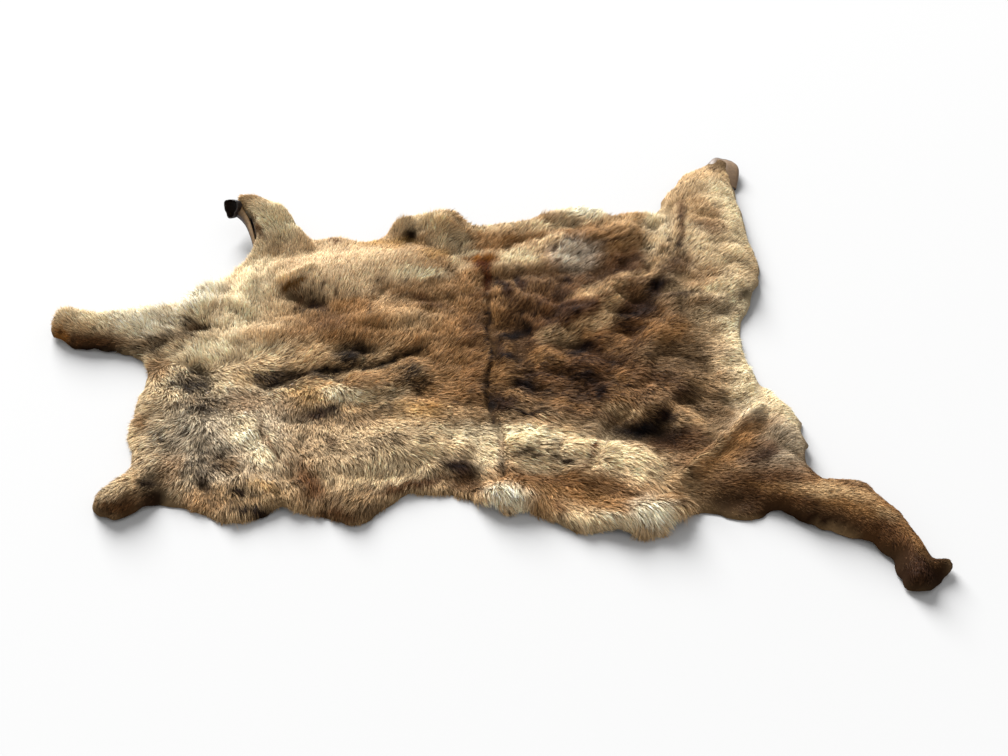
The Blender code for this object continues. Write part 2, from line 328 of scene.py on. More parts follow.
# %% [markdown]
# ### A map of the hide
#
# Hundreds of thousands of hairs will ask how deep, how high and how steep the hide is where they
# stand. Working that out once on a fine square net and reading between its knots is far quicker
# than asking the tables each time, so every later step reads from this map.

# %% The map and how it is read
KNOT = 0.003  # spacing of the map's knots
MAP_LOW = np.array([-0.93, -0.73])
MAP_SHAPE = (620, 488)
knots_x = MAP_LOW[0] + KNOT * np.arange(MAP_SHAPE[0])[:, None] + np.zeros(MAP_SHAPE)
knots_y = MAP_LOW[1] + KNOT * np.arange(MAP_SHAPE[1])[None, :] + np.zeros(MAP_SHAPE)


def read(field, x, y):
    """The field's value between four knots, weighted by how near each is."""
    across = np.clip((x - MAP_LOW[0]) / KNOT, 0, MAP_SHAPE[0] - 1.001)
    up = np.clip((y - MAP_LOW[1]) / KNOT, 0, MAP_SHAPE[1] - 1.001)
    i, j = across.astype(int), up.astype(int)
    u, v = across - i, up - j
    if field.ndim == 3:
        u, v = u[..., None], v[..., None]
    near_side = field[i, j] * (1 - u) + field[i + 1, j] * u
    far_side = field[i, j + 1] * (1 - u) + field[i + 1, j + 1] * u
    return near_side * (1 - v) + far_side * v


def slopes(field):
    """How steeply the field climbs along x and along y at each knot."""
    return np.gradient(field, KNOT, axis=0), np.gradient(field, KNOT, axis=1)


def softened(field, rounds):
    """Each knot becomes the mean of itself and its neighbours, again and again."""
    for _ in range(rounds):
        for axis in (0, 1):
            before = np.roll(field, 1, axis)
            after = np.roll(field, -1, axis)
            field = (before + 2 * field + after) / 4
    return field


def unevenness(size, seed):
    """Smooth random values from about -1 to 1, whose hills are about this many metres across."""
    rng = np.random.default_rng(seed)
    cells = (int(MAP_SHAPE[0] * KNOT / size) + 3, int(MAP_SHAPE[1] * KNOT / size) + 3)
    corners = rng.uniform(-1.0, 1.0, cells)
    across = (knots_x - MAP_LOW[0]) / size
    up = (knots_y - MAP_LOW[1]) / size
    i, j = across.astype(int), up.astype(int)
    u, v = across - i, up - j
    u, v = u * u * (3 - 2 * u), v * v * (3 - 2 * v)
    near_side = corners[i, j] * (1 - u) + corners[i + 1, j] * u
    far_side = corners[i, j + 1] * (1 - u) + corners[i + 1, j + 1] * u
    return 1.5 * (near_side * (1 - v) + far_side * v)


STIFF_ENDS = {"foreleg_far": 0.06}  # dried stiff, so it droops less and its edges stay in the air
limb_fields = {
    name: limb_depth(knots_x, knots_y, limb, STIFF_ENDS.get(name, DROOP))
    for name, limb in LIMBS.items()
}
depth_map = body_depth(knots_x, knots_y)
for limb_field, _ in limb_fields.values():
    depth_map = blended(depth_map, limb_field, JOIN)
print("map of", MAP_SHAPE, "knots; the cut is", round((depth_map > 0).sum() * KNOT**2, 3), "m2")

# %% [markdown]
# ## One hide, many coats
#
# The fur of the shoulder is sleek, that of the withers ruffled, the loin is blotched and puffed
# into cushions, and the legs are smooth. A table of places gives each of these a number, and a
# weighted mean fills in between them.

# %% How ruffled, mottled and cushioned the coat is


def spread(rows, values, x, y):
    """The mean of the rows' values, each weighted by exp of minus (distance / reach) squared."""
    total = np.zeros(np.shape(x) + values.shape[1:])
    weights = np.full(np.shape(x), 1e-9)
    for row, value in zip(rows, values):
        bell = np.exp(-((x - row["x"]) ** 2 + (y - row["y"]) ** 2) / row["reach"] ** 2)
        total += bell[..., None] * value
        weights += bell
    return total / weights[..., None]


# mottle sets how much the coat's tone varies and how strongly painted shade and light show on its folds
CHARACTER = table(
    "x y reach ruffle mottle flecks cushion",
    [
        (-0.75, 0.02, 0.10, 0.8, 0.10, 0.02, 0.5),
        (-0.58, 0.10, 0.07, 1.0, 0.15, 0.05, 0.8),
        (-0.45, 0.20, 0.10, 0.35, 0.12, 0.01, 0.7),
        (-0.26, 0.25, 0.12, 0.25, 0.06, 0.01, 0.3),
        (-0.25, 0.06, 0.10, 0.40, 0.16, 0.04, 0.7),
        (-0.42, 0.30, 0.08, 0.35, 0.10, 0.01, 0.6),
        (-0.45, -0.02, 0.08, 0.45, 0.14, 0.03, 0.7),
        (-0.52, -0.22, 0.12, 0.9, 0.22, 0.10, 0.9),
        (-0.30, -0.14, 0.10, 0.8, 0.25, 0.12, 0.9),
        (-0.38, -0.34, 0.12, 0.6, 0.20, 0.05, 0.9),
        (-0.16, -0.34, 0.12, 0.6, 0.16, 0.04, 0.7),
        (-0.10, -0.12, 0.10, 0.8, 0.24, 0.10, 0.9),
        (-0.02, 0.10, 0.10, 0.6, 0.20, 0.05, 0.8),
        (0.10, 0.34, 0.12, 0.6, 0.18, 0.04, 0.9),
        (0.30, 0.34, 0.12, 0.6, 0.24, 0.05, 1.0),
        (0.15, 0.08, 0.12, 0.7, 0.32, 0.12, 1.1),
        (0.35, 0.08, 0.12, 0.6, 0.30, 0.10, 1.2),
        (0.20, -0.14, 0.12, 0.8, 0.34, 0.12, 1.1),
        (0.42, -0.16, 0.12, 0.6, 0.28, 0.08, 1.1),
        (0.54, 0.34, 0.14, 0.35, 0.14, 0.02, 0.7),
        (0.56, 0.00, 0.10, 0.5, 0.12, 0.03, 0.6),
        (0.60, -0.28, 0.10, 0.4, 0.16, 0.02, 0.5),
        (0.55, -0.42, 0.12, 0.5, 0.22, 0.04, 0.6),
        (0.75, -0.52, 0.12, 0.4, 0.18, 0.03, 0.4),
        (0.18, -0.36, 0.12, 0.7, 0.16, 0.03, 0.9),
        (0.28, -0.48, 0.10, 0.7, 0.12, 0.01, 0.8),
    ],
)
character = np.stack([CHARACTER[name] for name in ("ruffle", "mottle", "flecks", "cushion")], 1)
ruffle_map, mottle_and_shade_map, fleck_map, cushion_map = np.moveaxis(
    spread(CHARACTER, character, knots_x, knots_y), -1, 0
)
print(len(CHARACTER), "places say how the coat differs")

# %% [markdown]
# ## How the skin lies
#
# Skin over a fold leaves the ground, and skin in a hollow can't go below it, so a hollow shows
# only in the fur. Fur is deep in the middle and short at the rim, where it leans outwards.
# Besides the folds in the table, a real hide is never quite even: it cockles as it dries. A
# little smooth unevenness of four sizes gives that.

# %% Heights of the skin and of the undercoat
SKIN_THICK = 0.0018  # tanned skin, thick as a glove
MAT_DEEP = 0.0120  # the woolly undercoat away from the rim
MAT_LEAST = 0.0020  # the undercoat at the bottom of a crease
RIM_ROUND = 0.020  # the undercoat thins to nothing over this distance at the rim
SKIN_EDGE = 0.006  # the fur reaches this far past the skin
CUSHIONS_FROM = 0.05  # the coat puffs up into cushions this far in from the rim
DEEPEST_HOLLOW = -0.012  # a fold's hollow shows no deeper than this in the fur

# Short creases and dimples too fine for the solid part
CREASES = table(
    "x0 y0 x1 y1 half_width height",
    [
        (-0.330, -0.112, -0.260, -0.090, 0.007, -0.006),
        (-0.260, -0.090, -0.200, -0.084, 0.006, -0.008),
        (-0.200, -0.084, -0.150, -0.062, 0.006, -0.009),
        (-0.150, -0.062, -0.095, -0.022, 0.006, -0.008),
        (-0.200, -0.068, -0.150, -0.046, 0.008, 0.004),
        (-0.240, -0.035, -0.190, -0.040, 0.012, -0.005),
        (-0.180, 0.160, -0.200, 0.115, 0.010, -0.005),
        (-0.385, 0.165, -0.330, 0.205, 0.012, 0.008),
        (-0.370, 0.140, -0.330, 0.100, 0.014, -0.007),
        (0.048, 0.130, 0.046, 0.030, 0.006, -0.006),
        (0.046, 0.030, 0.060, -0.050, 0.006, -0.007),
        (0.060, -0.050, 0.040, -0.130, 0.006, -0.007),
        (0.040, -0.130, 0.048, -0.190, 0.006, -0.008),
        (0.048, -0.190, 0.074, -0.280, 0.006, -0.007),
        (0.074, -0.280, 0.078, -0.385, 0.006, -0.007),
        (0.205, 0.015, 0.235, 0.055, 0.006, -0.005),
        (0.300, 0.045, 0.375, 0.035, 0.006, -0.006),
        (0.270, -0.060, 0.315, -0.085, 0.006, -0.006),
        (0.100, -0.100, 0.175, -0.108, 0.006, -0.006),
        (0.060, -0.160, 0.100, -0.200, 0.007, -0.006),
        (0.100, -0.200, 0.175, -0.222, 0.006, -0.007),
        (0.200, -0.108, 0.270, -0.110, 0.007, -0.005),
        (0.402, 0.250, 0.385, 0.205, 0.008, -0.007),
        (0.385, 0.205, 0.330, 0.185, 0.008, -0.006),
        (0.270, 0.315, 0.350, 0.355, 0.006, -0.008),
        (0.195, 0.290, 0.200, 0.335, 0.006, -0.006),
        (0.205, -0.345, 0.235, -0.375, 0.007, -0.005),
        (0.235, -0.375, 0.270, -0.300, 0.007, -0.006),
        (0.400, -0.402, 0.485, -0.312, 0.007, 0.008),
        (0.485, -0.312, 0.565, -0.228, 0.007, 0.008),
        (0.440, 0.250, 0.455, 0.440, 0.010, -0.008),
        (0.400, 0.150, 0.420, 0.270, 0.012, -0.006),
        (0.290, -0.235, 0.330, -0.215, 0.010, -0.005),
        (0.210, 0.340, 0.248, 0.312, 0.007, -0.008),
        (-0.100, 0.325, -0.060, 0.350, 0.010, 0.009),
        (-0.060, 0.350, 0.000, 0.340, 0.010, 0.009),
        (-0.130, 0.320, -0.115, 0.370, 0.012, -0.010),
        (-0.440, 0.200, -0.400, 0.300, 0.014, -0.005),
        (-0.300, -0.290, -0.310, -0.400, 0.008, -0.006),
        (-0.470, -0.400, -0.440, -0.470, 0.010, -0.006),
        (-0.330, -0.430, -0.310, -0.480, 0.010, -0.006),
        (-0.230, -0.410, -0.240, -0.480, 0.010, -0.006),
        (0.100, -0.130, 0.150, -0.150, 0.012, -0.005),
        (0.180, -0.110, 0.260, -0.130, 0.010, -0.005),
        (0.340, 0.080, 0.420, 0.110, 0.012, -0.005),
        (0.300, 0.030, 0.380, 0.010, 0.010, -0.005),
        (0.140, 0.050, 0.230, 0.080, 0.010, -0.004),
        (0.500, 0.060, 0.600, 0.130, 0.016, -0.005),
        (0.575, 0.140, 0.610, 0.120, 0.010, -0.006),
        (0.520, 0.380, 0.560, 0.370, 0.012, -0.005),
        (-0.030, 0.130, 0.000, 0.000, 0.012, -0.004),
        (-0.520, -0.100, -0.480, -0.180, 0.014, -0.006),
        (-0.570, -0.270, -0.530, -0.330, 0.012, -0.005),
        (-0.480, -0.210, -0.440, -0.240, 0.010, -0.005),
    ],
)

fold_map = ridges(knots_x, knots_y, FOLDS)
lift_map = np.clip(fold_map - SLACK, 0.0, None)
for _, limb_height in limb_fields.values():
    lift_map = np.maximum(lift_map, limb_height)
lift_map = softened(lift_map, 4)
inside = np.clip(depth_map / CUSHIONS_FROM, 0.0, 1.0)
# Taking the size of an uneven field, without its sign, gives round cushions with sharp valleys.
puffed = 0.0085 * (np.abs(unevenness(0.090, 1)) - 0.35)
puffed += 0.0062 * (np.abs(unevenness(0.052, 2)) - 0.35)
puffed += 0.0026 * unevenness(0.030, 3) + 0.0012 * unevenness(0.017, 7)
cockle_map = inside * cushion_map * softened(puffed, 1)
crease_map = ridges(knots_x, knots_y, CREASES)
parted_map = np.clip(fold_map, DEEPEST_HOLLOW, 0.0) + crease_map + cockle_map

edge_depth = depth_map - SKIN_EDGE + 0.003 * unevenness(0.035, 4) + 0.002 * unevenness(0.015, 5)
print("the ragged rim is drawn in by up to", round(float((depth_map - edge_depth).max()), 3), "m")
rim_share = np.clip(edge_depth / RIM_ROUND, 0.0, 1.0)
rounding = np.sqrt(1.0 - (1.0 - rim_share) ** 2)
skin_map = lift_map + SKIN_THICK
mat_map = np.clip(MAT_DEEP + 0.95 * parted_map, MAT_LEAST, None) * rounding
coat_map = softened(skin_map + mat_map, 1)
coat_slope = slopes(coat_map)
outward = slopes(-softened(depth_map, 3))
print("undercoat stands up to", round(float(coat_map[edge_depth > 0].max()), 3), "m high")

# %% [markdown]
# ## The skin
#
# The skin is a single sheet under two millimetres thick, suede on the side that meets the
# ground. It is cut as a net of squares whose rim is drawn onto the outline and then laid over
# the heights worked out above. A net keeps its squares even, so the sheet bends the same way
# everywhere; filling an outline with triangles wouldn't.

# %% Helpers that cut a net and build a closed shell
OVERHANG = 0.35  # the share of a step by which a corner may lie outside before it is drawn in
ROUNDS = 14  # how many times a net is relaxed and its rim drawn back to the outline


def kept_squares(step, depth):
    """Squares whose four corners are inside the outline, without the ones that touch by a corner."""
    columns = int((MAP_SHAPE[0] - 2) * KNOT / step)
    rows = int((MAP_SHAPE[1] - 2) * KNOT / step)
    x = MAP_LOW[0] + step * np.arange(columns)[:, None] + np.zeros((columns, rows))
    y = MAP_LOW[1] + step * np.arange(rows)[None, :] + np.zeros((columns, rows))
    good = read(depth, x, y) > -OVERHANG * step
    squares = good[:-1, :-1] & good[1:, :-1] & good[:-1, 1:] & good[1:, 1:]
    reached = np.zeros_like(squares)
    reached[columns // 2, rows // 2] = True
    for _ in range(columns + rows):
        spread = reached.copy()
        spread[1:] |= reached[:-1]
        spread[:-1] |= reached[1:]
        spread[:, 1:] |= reached[:, :-1]
        spread[:, :-1] |= reached[:, 1:]
        reached = spread & squares
    squares = reached
    for _ in range(4):
        a, b = squares[:-1, :-1], squares[1:, :-1]
        c, d = squares[:-1, 1:], squares[1:, 1:]
        falling = a & d & ~b & ~c
        rising = b & c & ~a & ~d
        squares[1:, :-1] |= falling
        squares[:-1, 1:] |= falling
        squares[:-1, :-1] |= rising
        squares[1:, 1:] |= rising
    return x, y, squares


def net(step, depth):
    """Points, squares and rim edges of a net, its rim drawn down the depth's slope to zero."""
    x, y, squares = kept_squares(step, depth)
    i, j = np.nonzero(squares)
    rows = x.shape[1]
    corners = np.stack([i * rows + j, (i + 1) * rows + j, (i + 1) * rows + j + 1, i * rows + j + 1], 1)
    used, faces = np.unique(corners, return_inverse=True)
    faces = faces.reshape(-1, 4)
    points = np.stack([x.ravel()[used], y.ravel()[used]], 1)
    edges = np.concatenate([faces[:, [k, (k + 1) % 4]] for k in range(4)])
    _, first, count = np.unique(
        np.sort(edges, 1), axis=0, return_index=True, return_counts=True
    )
    rim = edges[first[count == 1]]
    all_edges = np.sort(edges, 1)[first]
    on_rim = np.zeros(len(points), bool)
    on_rim[rim.ravel()] = True
    climb_x, climb_y = slopes(depth)
    for _ in range(ROUNDS):
        total = np.zeros_like(points)
        share = np.zeros(len(points))
        for a, b in ((0, 1), (1, 0)):
            both_rim = on_rim[all_edges[:, a]]
            pull = np.where(both_rim, count == 1, 1.0)
            np.add.at(total, all_edges[:, a], points[all_edges[:, b]] * pull[:, None])
            np.add.at(share, all_edges[:, a], pull)
        middle = total / share[:, None]
        points += (middle - points) * np.where(on_rim, 0.35, 0.5)[:, None]
        for _ in range(3):
            px, py = points[on_rim, 0], points[on_rim, 1]
            here = read(depth, px, py)
            gx, gy = read(climb_x, px, py), read(climb_y, px, py)
            steep = np.maximum(gx**2 + gy**2, 0.25)
            points[on_rim] -= np.stack([here * gx / steep, here * gy / steep], 1)
    return points, faces, rim


def shell(points, faces, rim, top, bottom):
    """A closed mesh: the net at the top heights, the net at the bottom ones, and a wall between."""
    count = len(points)
    upper = np.column_stack([points, top])
    lower = np.column_stack([points, bottom])
    wall = np.stack([rim[:, 1], rim[:, 0], rim[:, 0] + count, rim[:, 1] + count], 1)
    return np.concatenate([upper, lower]), np.concatenate([faces, faces[:, ::-1] + count, wall])


def make_piece(name, points, faces):
    """Puts points and four-sided faces into a new mesh object at the origin."""
    mesh = bpy.data.meshes.new(name)
    mesh.vertices.add(len(points))
    mesh.vertices.foreach_set("co", np.ascontiguousarray(points, np.float32).ravel())
    mesh.loops.add(faces.size)
    mesh.loops.foreach_set("vertex_index", np.ascontiguousarray(faces, np.int32).ravel())
    mesh.polygons.add(len(faces))
    mesh.polygons.foreach_set("loop_start", np.arange(len(faces), dtype=np.int32) * 4)
    mesh.update(calc_edges=True)
    mesh.shade_smooth()
    piece = bpy.data.objects.new(name, mesh)
    bpy.context.scene.collection.objects.link(piece)
    return piece


# %% Cut and lay the skin
SKIN_NET = 0.012
skin_points, skin_faces, skin_rim = net(SKIN_NET, edge_depth)
skin_under = read(lift_map, *skin_points.T)
skin = make_piece(
    "skin", *shell(skin_points, skin_faces, skin_rim, skin_under + SKIN_THICK, skin_under)
)

# %% [markdown]
# ## The undercoat
#
# Under the guard hairs a reindeer has a dense wool. It fills the gaps, so no skin is seen when
# the hairs part. A closed mat is right for it: a second net on the same outline, rounded to
# nothing at the rim, which the hairs are then rooted in.

# %% Lay the undercoat
COAT_NET = 0.009
COAT_EDGE = 0.002  # the undercoat reaches this far past the skin
coat_points, coat_faces, coat_rim = net(COAT_NET, edge_depth + COAT_EDGE)
on_coat = read(coat_map, *coat_points.T)
coat_floor = read(lift_map, *coat_points.T) + SKIN_THICK * 0.5
undercoat = make_piece(
    "undercoat",
    *shell(coat_points, coat_faces, coat_rim, np.maximum(on_coat, coat_floor + 0.001), coat_floor),
)
print("undercoat:", len(undercoat.data.polygons), "squares")

# %% [markdown]
# ## Which way the hair lies
#
# Hair on a reindeer runs from neck to rump, away from the spine and down each leg. The tanner's
# brush and the folding disturb that, so the lie is set by a table of places with an angle each,
# measured anticlockwise from the rump end. The lie anywhere is the mean of the places near it,
# each weighted by a bell of its own reach. Near the rim the fur also turns outwards.

# %% Table of the lie
LIE = table(
    "x y reach angle",
    [
        # neck strip and neck
        (-0.82, 0.04, 0.05, 140),
        (-0.76, 0.04, 0.05, 130),
        (-0.70, 0.03, 0.05, 125),
        (-0.62, 0.08, 0.05, 128),
        (-0.58, 0.12, 0.05, 120),
        (-0.60, 0.00, 0.05, 150),
        (-0.52, 0.16, 0.05, 110),
        # shoulder
        (-0.44, 0.20, 0.07, 100),
        (-0.44, 0.06, 0.07, 95),
        (-0.34, 0.20, 0.07, 80),
        (-0.30, 0.08, 0.07, 85),
        (-0.30, 0.30, 0.06, 88),
        (-0.18, 0.24, 0.07, 70),
        (-0.18, 0.08, 0.07, 70),
        (-0.06, 0.20, 0.07, 65),
        (-0.06, 0.06, 0.06, 75),
        # far foreleg
        (-0.42, 0.36, 0.05, 110),
        (-0.44, 0.44, 0.05, 150),
        # far side
        (-0.10, 0.38, 0.05, 75),
        (0.04, 0.34, 0.06, 55),
        (0.10, 0.24, 0.06, 55),
        (0.16, 0.38, 0.06, 60),
        (0.26, 0.34, 0.07, 45),
        (0.34, 0.24, 0.07, 42),
        (0.30, 0.10, 0.07, 38),
        (0.22, 0.06, 0.06, 45),
        (0.10, 0.10, 0.06, 68),
        (0.38, 0.40, 0.06, 55),
        (0.42, 0.12, 0.07, 30),
        (0.42, 0.00, 0.07, 15),
        # far hind leg
        (0.50, 0.16, 0.07, 42),
        (0.54, 0.28, 0.07, 45),
        (0.46, 0.42, 0.04, 80),
        (0.54, 0.44, 0.06, 52),
        (0.57, 0.56, 0.05, 60),
        (0.53, 0.02, 0.06, 25),
        # loin, below the spine
        (0.02, -0.04, 0.06, 40),
        (0.12, -0.04, 0.06, -5),
        (0.20, -0.16, 0.07, -8),
        (0.10, -0.20, 0.06, -25),
        (0.30, -0.04, 0.07, 5),
        (0.31, -0.20, 0.05, -60),
        (0.40, -0.14, 0.06, -35),
        (0.40, -0.28, 0.06, -32),
        (0.50, -0.08, 0.06, -20),
        (0.56, -0.18, 0.05, 10),
        (0.60, -0.28, 0.05, 25),
        # near hind leg
        (0.50, -0.30, 0.05, 34),
        (0.46, -0.42, 0.06, -12),
        (0.56, -0.42, 0.06, -6),
        (0.66, -0.45, 0.06, -6),
        (0.74, -0.50, 0.05, -24),
        (0.78, -0.58, 0.04, -76),
        (0.79, -0.64, 0.04, -95),
        (0.84, -0.60, 0.03, 20),
        # belly, right
        (0.10, -0.32, 0.06, -28),
        (0.20, -0.34, 0.06, -18),
        (0.28, -0.42, 0.05, -35),
        (0.34, -0.48, 0.05, -68),
        (0.24, -0.50, 0.05, -50),
        (0.10, -0.44, 0.05, -70),
        (0.02, -0.38, 0.05, -60),
        # belly, left
        (-0.08, -0.24, 0.07, -15),
        (-0.12, -0.12, 0.06, 15),
        (-0.14, -0.42, 0.05, -125),
        (-0.20, -0.46, 0.05, -115),
        (-0.18, -0.32, 0.06, -60),
        (-0.30, -0.22, 0.06, -85),
        (-0.30, -0.08, 0.06, 30),
        (-0.30, -0.40, 0.06, -75),
        (-0.42, -0.30, 0.07, -50),
        (-0.44, -0.14, 0.06, -40),
        (-0.40, -0.44, 0.06, -80),
        (-0.56, -0.30, 0.06, -130),
        (-0.54, -0.16, 0.06, -60),
        (-0.50, -0.04, 0.06, 120),
        (-0.60, -0.46, 0.05, -140),
        (-0.61, -0.22, 0.05, 190),
    ],
)
headings = np.radians(LIE["angle"])
lie_map = spread(LIE, np.stack([np.cos(headings), np.sin(headings)], 1), knots_x, knots_y)
OUTWARD_REACH = 0.012  # how far in from the rim the hair starts to turn outwards
turn_out = np.exp(-np.clip(edge_depth, 0.0, None) / OUTWARD_REACH)[..., None]
lie_map = lie_map + 1.2 * turn_out * np.stack(outward, -1)
lie_map /= np.linalg.norm(lie_map, axis=-1, keepdims=True) + 1e-9
print(len(LIE), "places set the lie")

# %% [markdown]
# ### How long the hair is
#
# The collar and the belly carry long shaggy tufts, and the shanks are as short as a brush. Shag
# says how much of that length is kept at the rim, where sleek fur would be cut short.

# %% Table of hair length
ALL_OVER = 0.70  # this coat against the table, whose lengths are those of a full winter coat
TRIMMED_FROM = 0.025  # sleek hair is shorter from this far in, and half as long at the rim
LENGTHS = table(
    "x y reach length shag",
    [
        (-0.78, 0.03, 0.08, 0.020, 0.4),
        (-0.62, 0.05, 0.06, 0.032, 0.7),
        (-0.57, 0.13, 0.05, 0.052, 1.2),
        (-0.49, 0.22, 0.04, 0.036, 1.0),
        (-0.42, 0.36, 0.07, 0.017, 0.1),
        (-0.30, 0.20, 0.14, 0.021, 0.1),
        (-0.30, -0.10, 0.14, 0.023, 0.1),
        (-0.45, -0.25, 0.12, 0.025, 0.1),
        (-0.58, -0.45, 0.06, 0.020, 0.1),
        (-0.30, -0.42, 0.12, 0.027, 0.3),
        (0.00, 0.10, 0.14, 0.022, 0.1),
        (-0.10, 0.40, 0.07, 0.026, 0.6),
        (0.10, -0.15, 0.14, 0.022, 0.1),
        (0.30, 0.10, 0.14, 0.022, 0.1),
        (0.30, 0.40, 0.10, 0.026, 0.7),
        (0.35, -0.20, 0.12, 0.022, 0.1),
        (0.09, -0.44, 0.06, 0.034, 0.6),
        (0.25, -0.50, 0.06, 0.028, 0.4),
        (0.35, -0.48, 0.05, 0.038, 0.7),
        (0.20, -0.34, 0.10, 0.025, 0.1),
        (0.54, 0.10, 0.10, 0.018, 0.1),
        (0.53, 0.35, 0.12, 0.022, 0.2),
        (0.57, 0.53, 0.04, 0.020, 0.2),
        (0.59, 0.63, 0.04, 0.006, 0.0),
        (0.60, -0.25, 0.08, 0.017, 0.1),
        (0.55, -0.42, 0.10, 0.016, 0.1),
        (0.70, -0.46, 0.08, 0.014, 0.1),
        (0.79, -0.62, 0.07, 0.010, 0.1),
    ],
)
lengths = np.stack([LENGTHS["length"], LENGTHS["shag"]], 1)
length_map, shag_map = np.moveaxis(spread(LENGTHS, lengths, knots_x, knots_y), -1, 0)
length_map *= 1.0 + 0.12 * unevenness(0.05, 6)
length_map *= ALL_OVER
at_rim = 1.0 - np.clip(edge_depth / TRIMMED_FROM, 0.0, 1.0)
length_map *= 1.0 - at_rim * 0.5 * (1.0 - np.clip(shag_map, 0.0, 1.0))
# hair is shorter in a hollow, or it would hide it
length_map *= np.clip(1.0 + 65.0 * np.minimum(parted_map, 0.0), 0.45, 1.0)
print("hair from", round(float(length_map[edge_depth > 0].min()), 3), "m long")

# %% [markdown]
# ## Markings
#
# A reindeer's coat is grey-cream on the neck and legs, tan on the shoulder and deep brown over
# the loin, with a rusty stain or two where it has lain. Each marking below is a soft oval: its
# middle, how far it reaches along and across, the way it is turned, its strength and the
# colour's name. They are laid over each other in order, like glazes. The places are shifted by
# smooth unevenness first, so that no oval shows its outline. Some dark ovals and thin lines
# are painted shade, lying in the creases and hollows where shade falls; the notes beside them say
# which.

# %% Colours by name


def pigment(red, green, blue):
    """A colour as painters' charts give it, from 0 to 255, made linear for the shader."""
    return (np.array([red, green, blue]) / 255.0) ** 2.2


PIGMENTS = {
    "white": pigment(246, 226, 190),
    "cream": pigment(238, 212, 168),
    "beige": pigment(220, 190, 146),
    "grey": pigment(196, 176, 146),
    "tan": pigment(188, 152, 108),
    "pink_tan": pigment(226, 192, 148),
    "ochre": pigment(190, 144, 80),
    "golden": pigment(150, 108, 66),
    "rust": pigment(158, 98, 38),
    # stain is the rust stain's own colour, and in two thin crease lines it is painted shade
    "stain": pigment(92, 46, 14),
    "amber": pigment(112, 74, 30),
    "ash": pigment(216, 194, 166),
    "brown": pigment(98, 66, 40),
    "grey_brown": pigment(110, 86, 60),
    "deep": pigment(56, 36, 22),
    "dark": pigment(32, 19, 11),
    # black stands only for painted shade: in creases, in the rump's hollow and inside the foreleg
    # scroll
    "black": pigment(16, 9, 6),
}

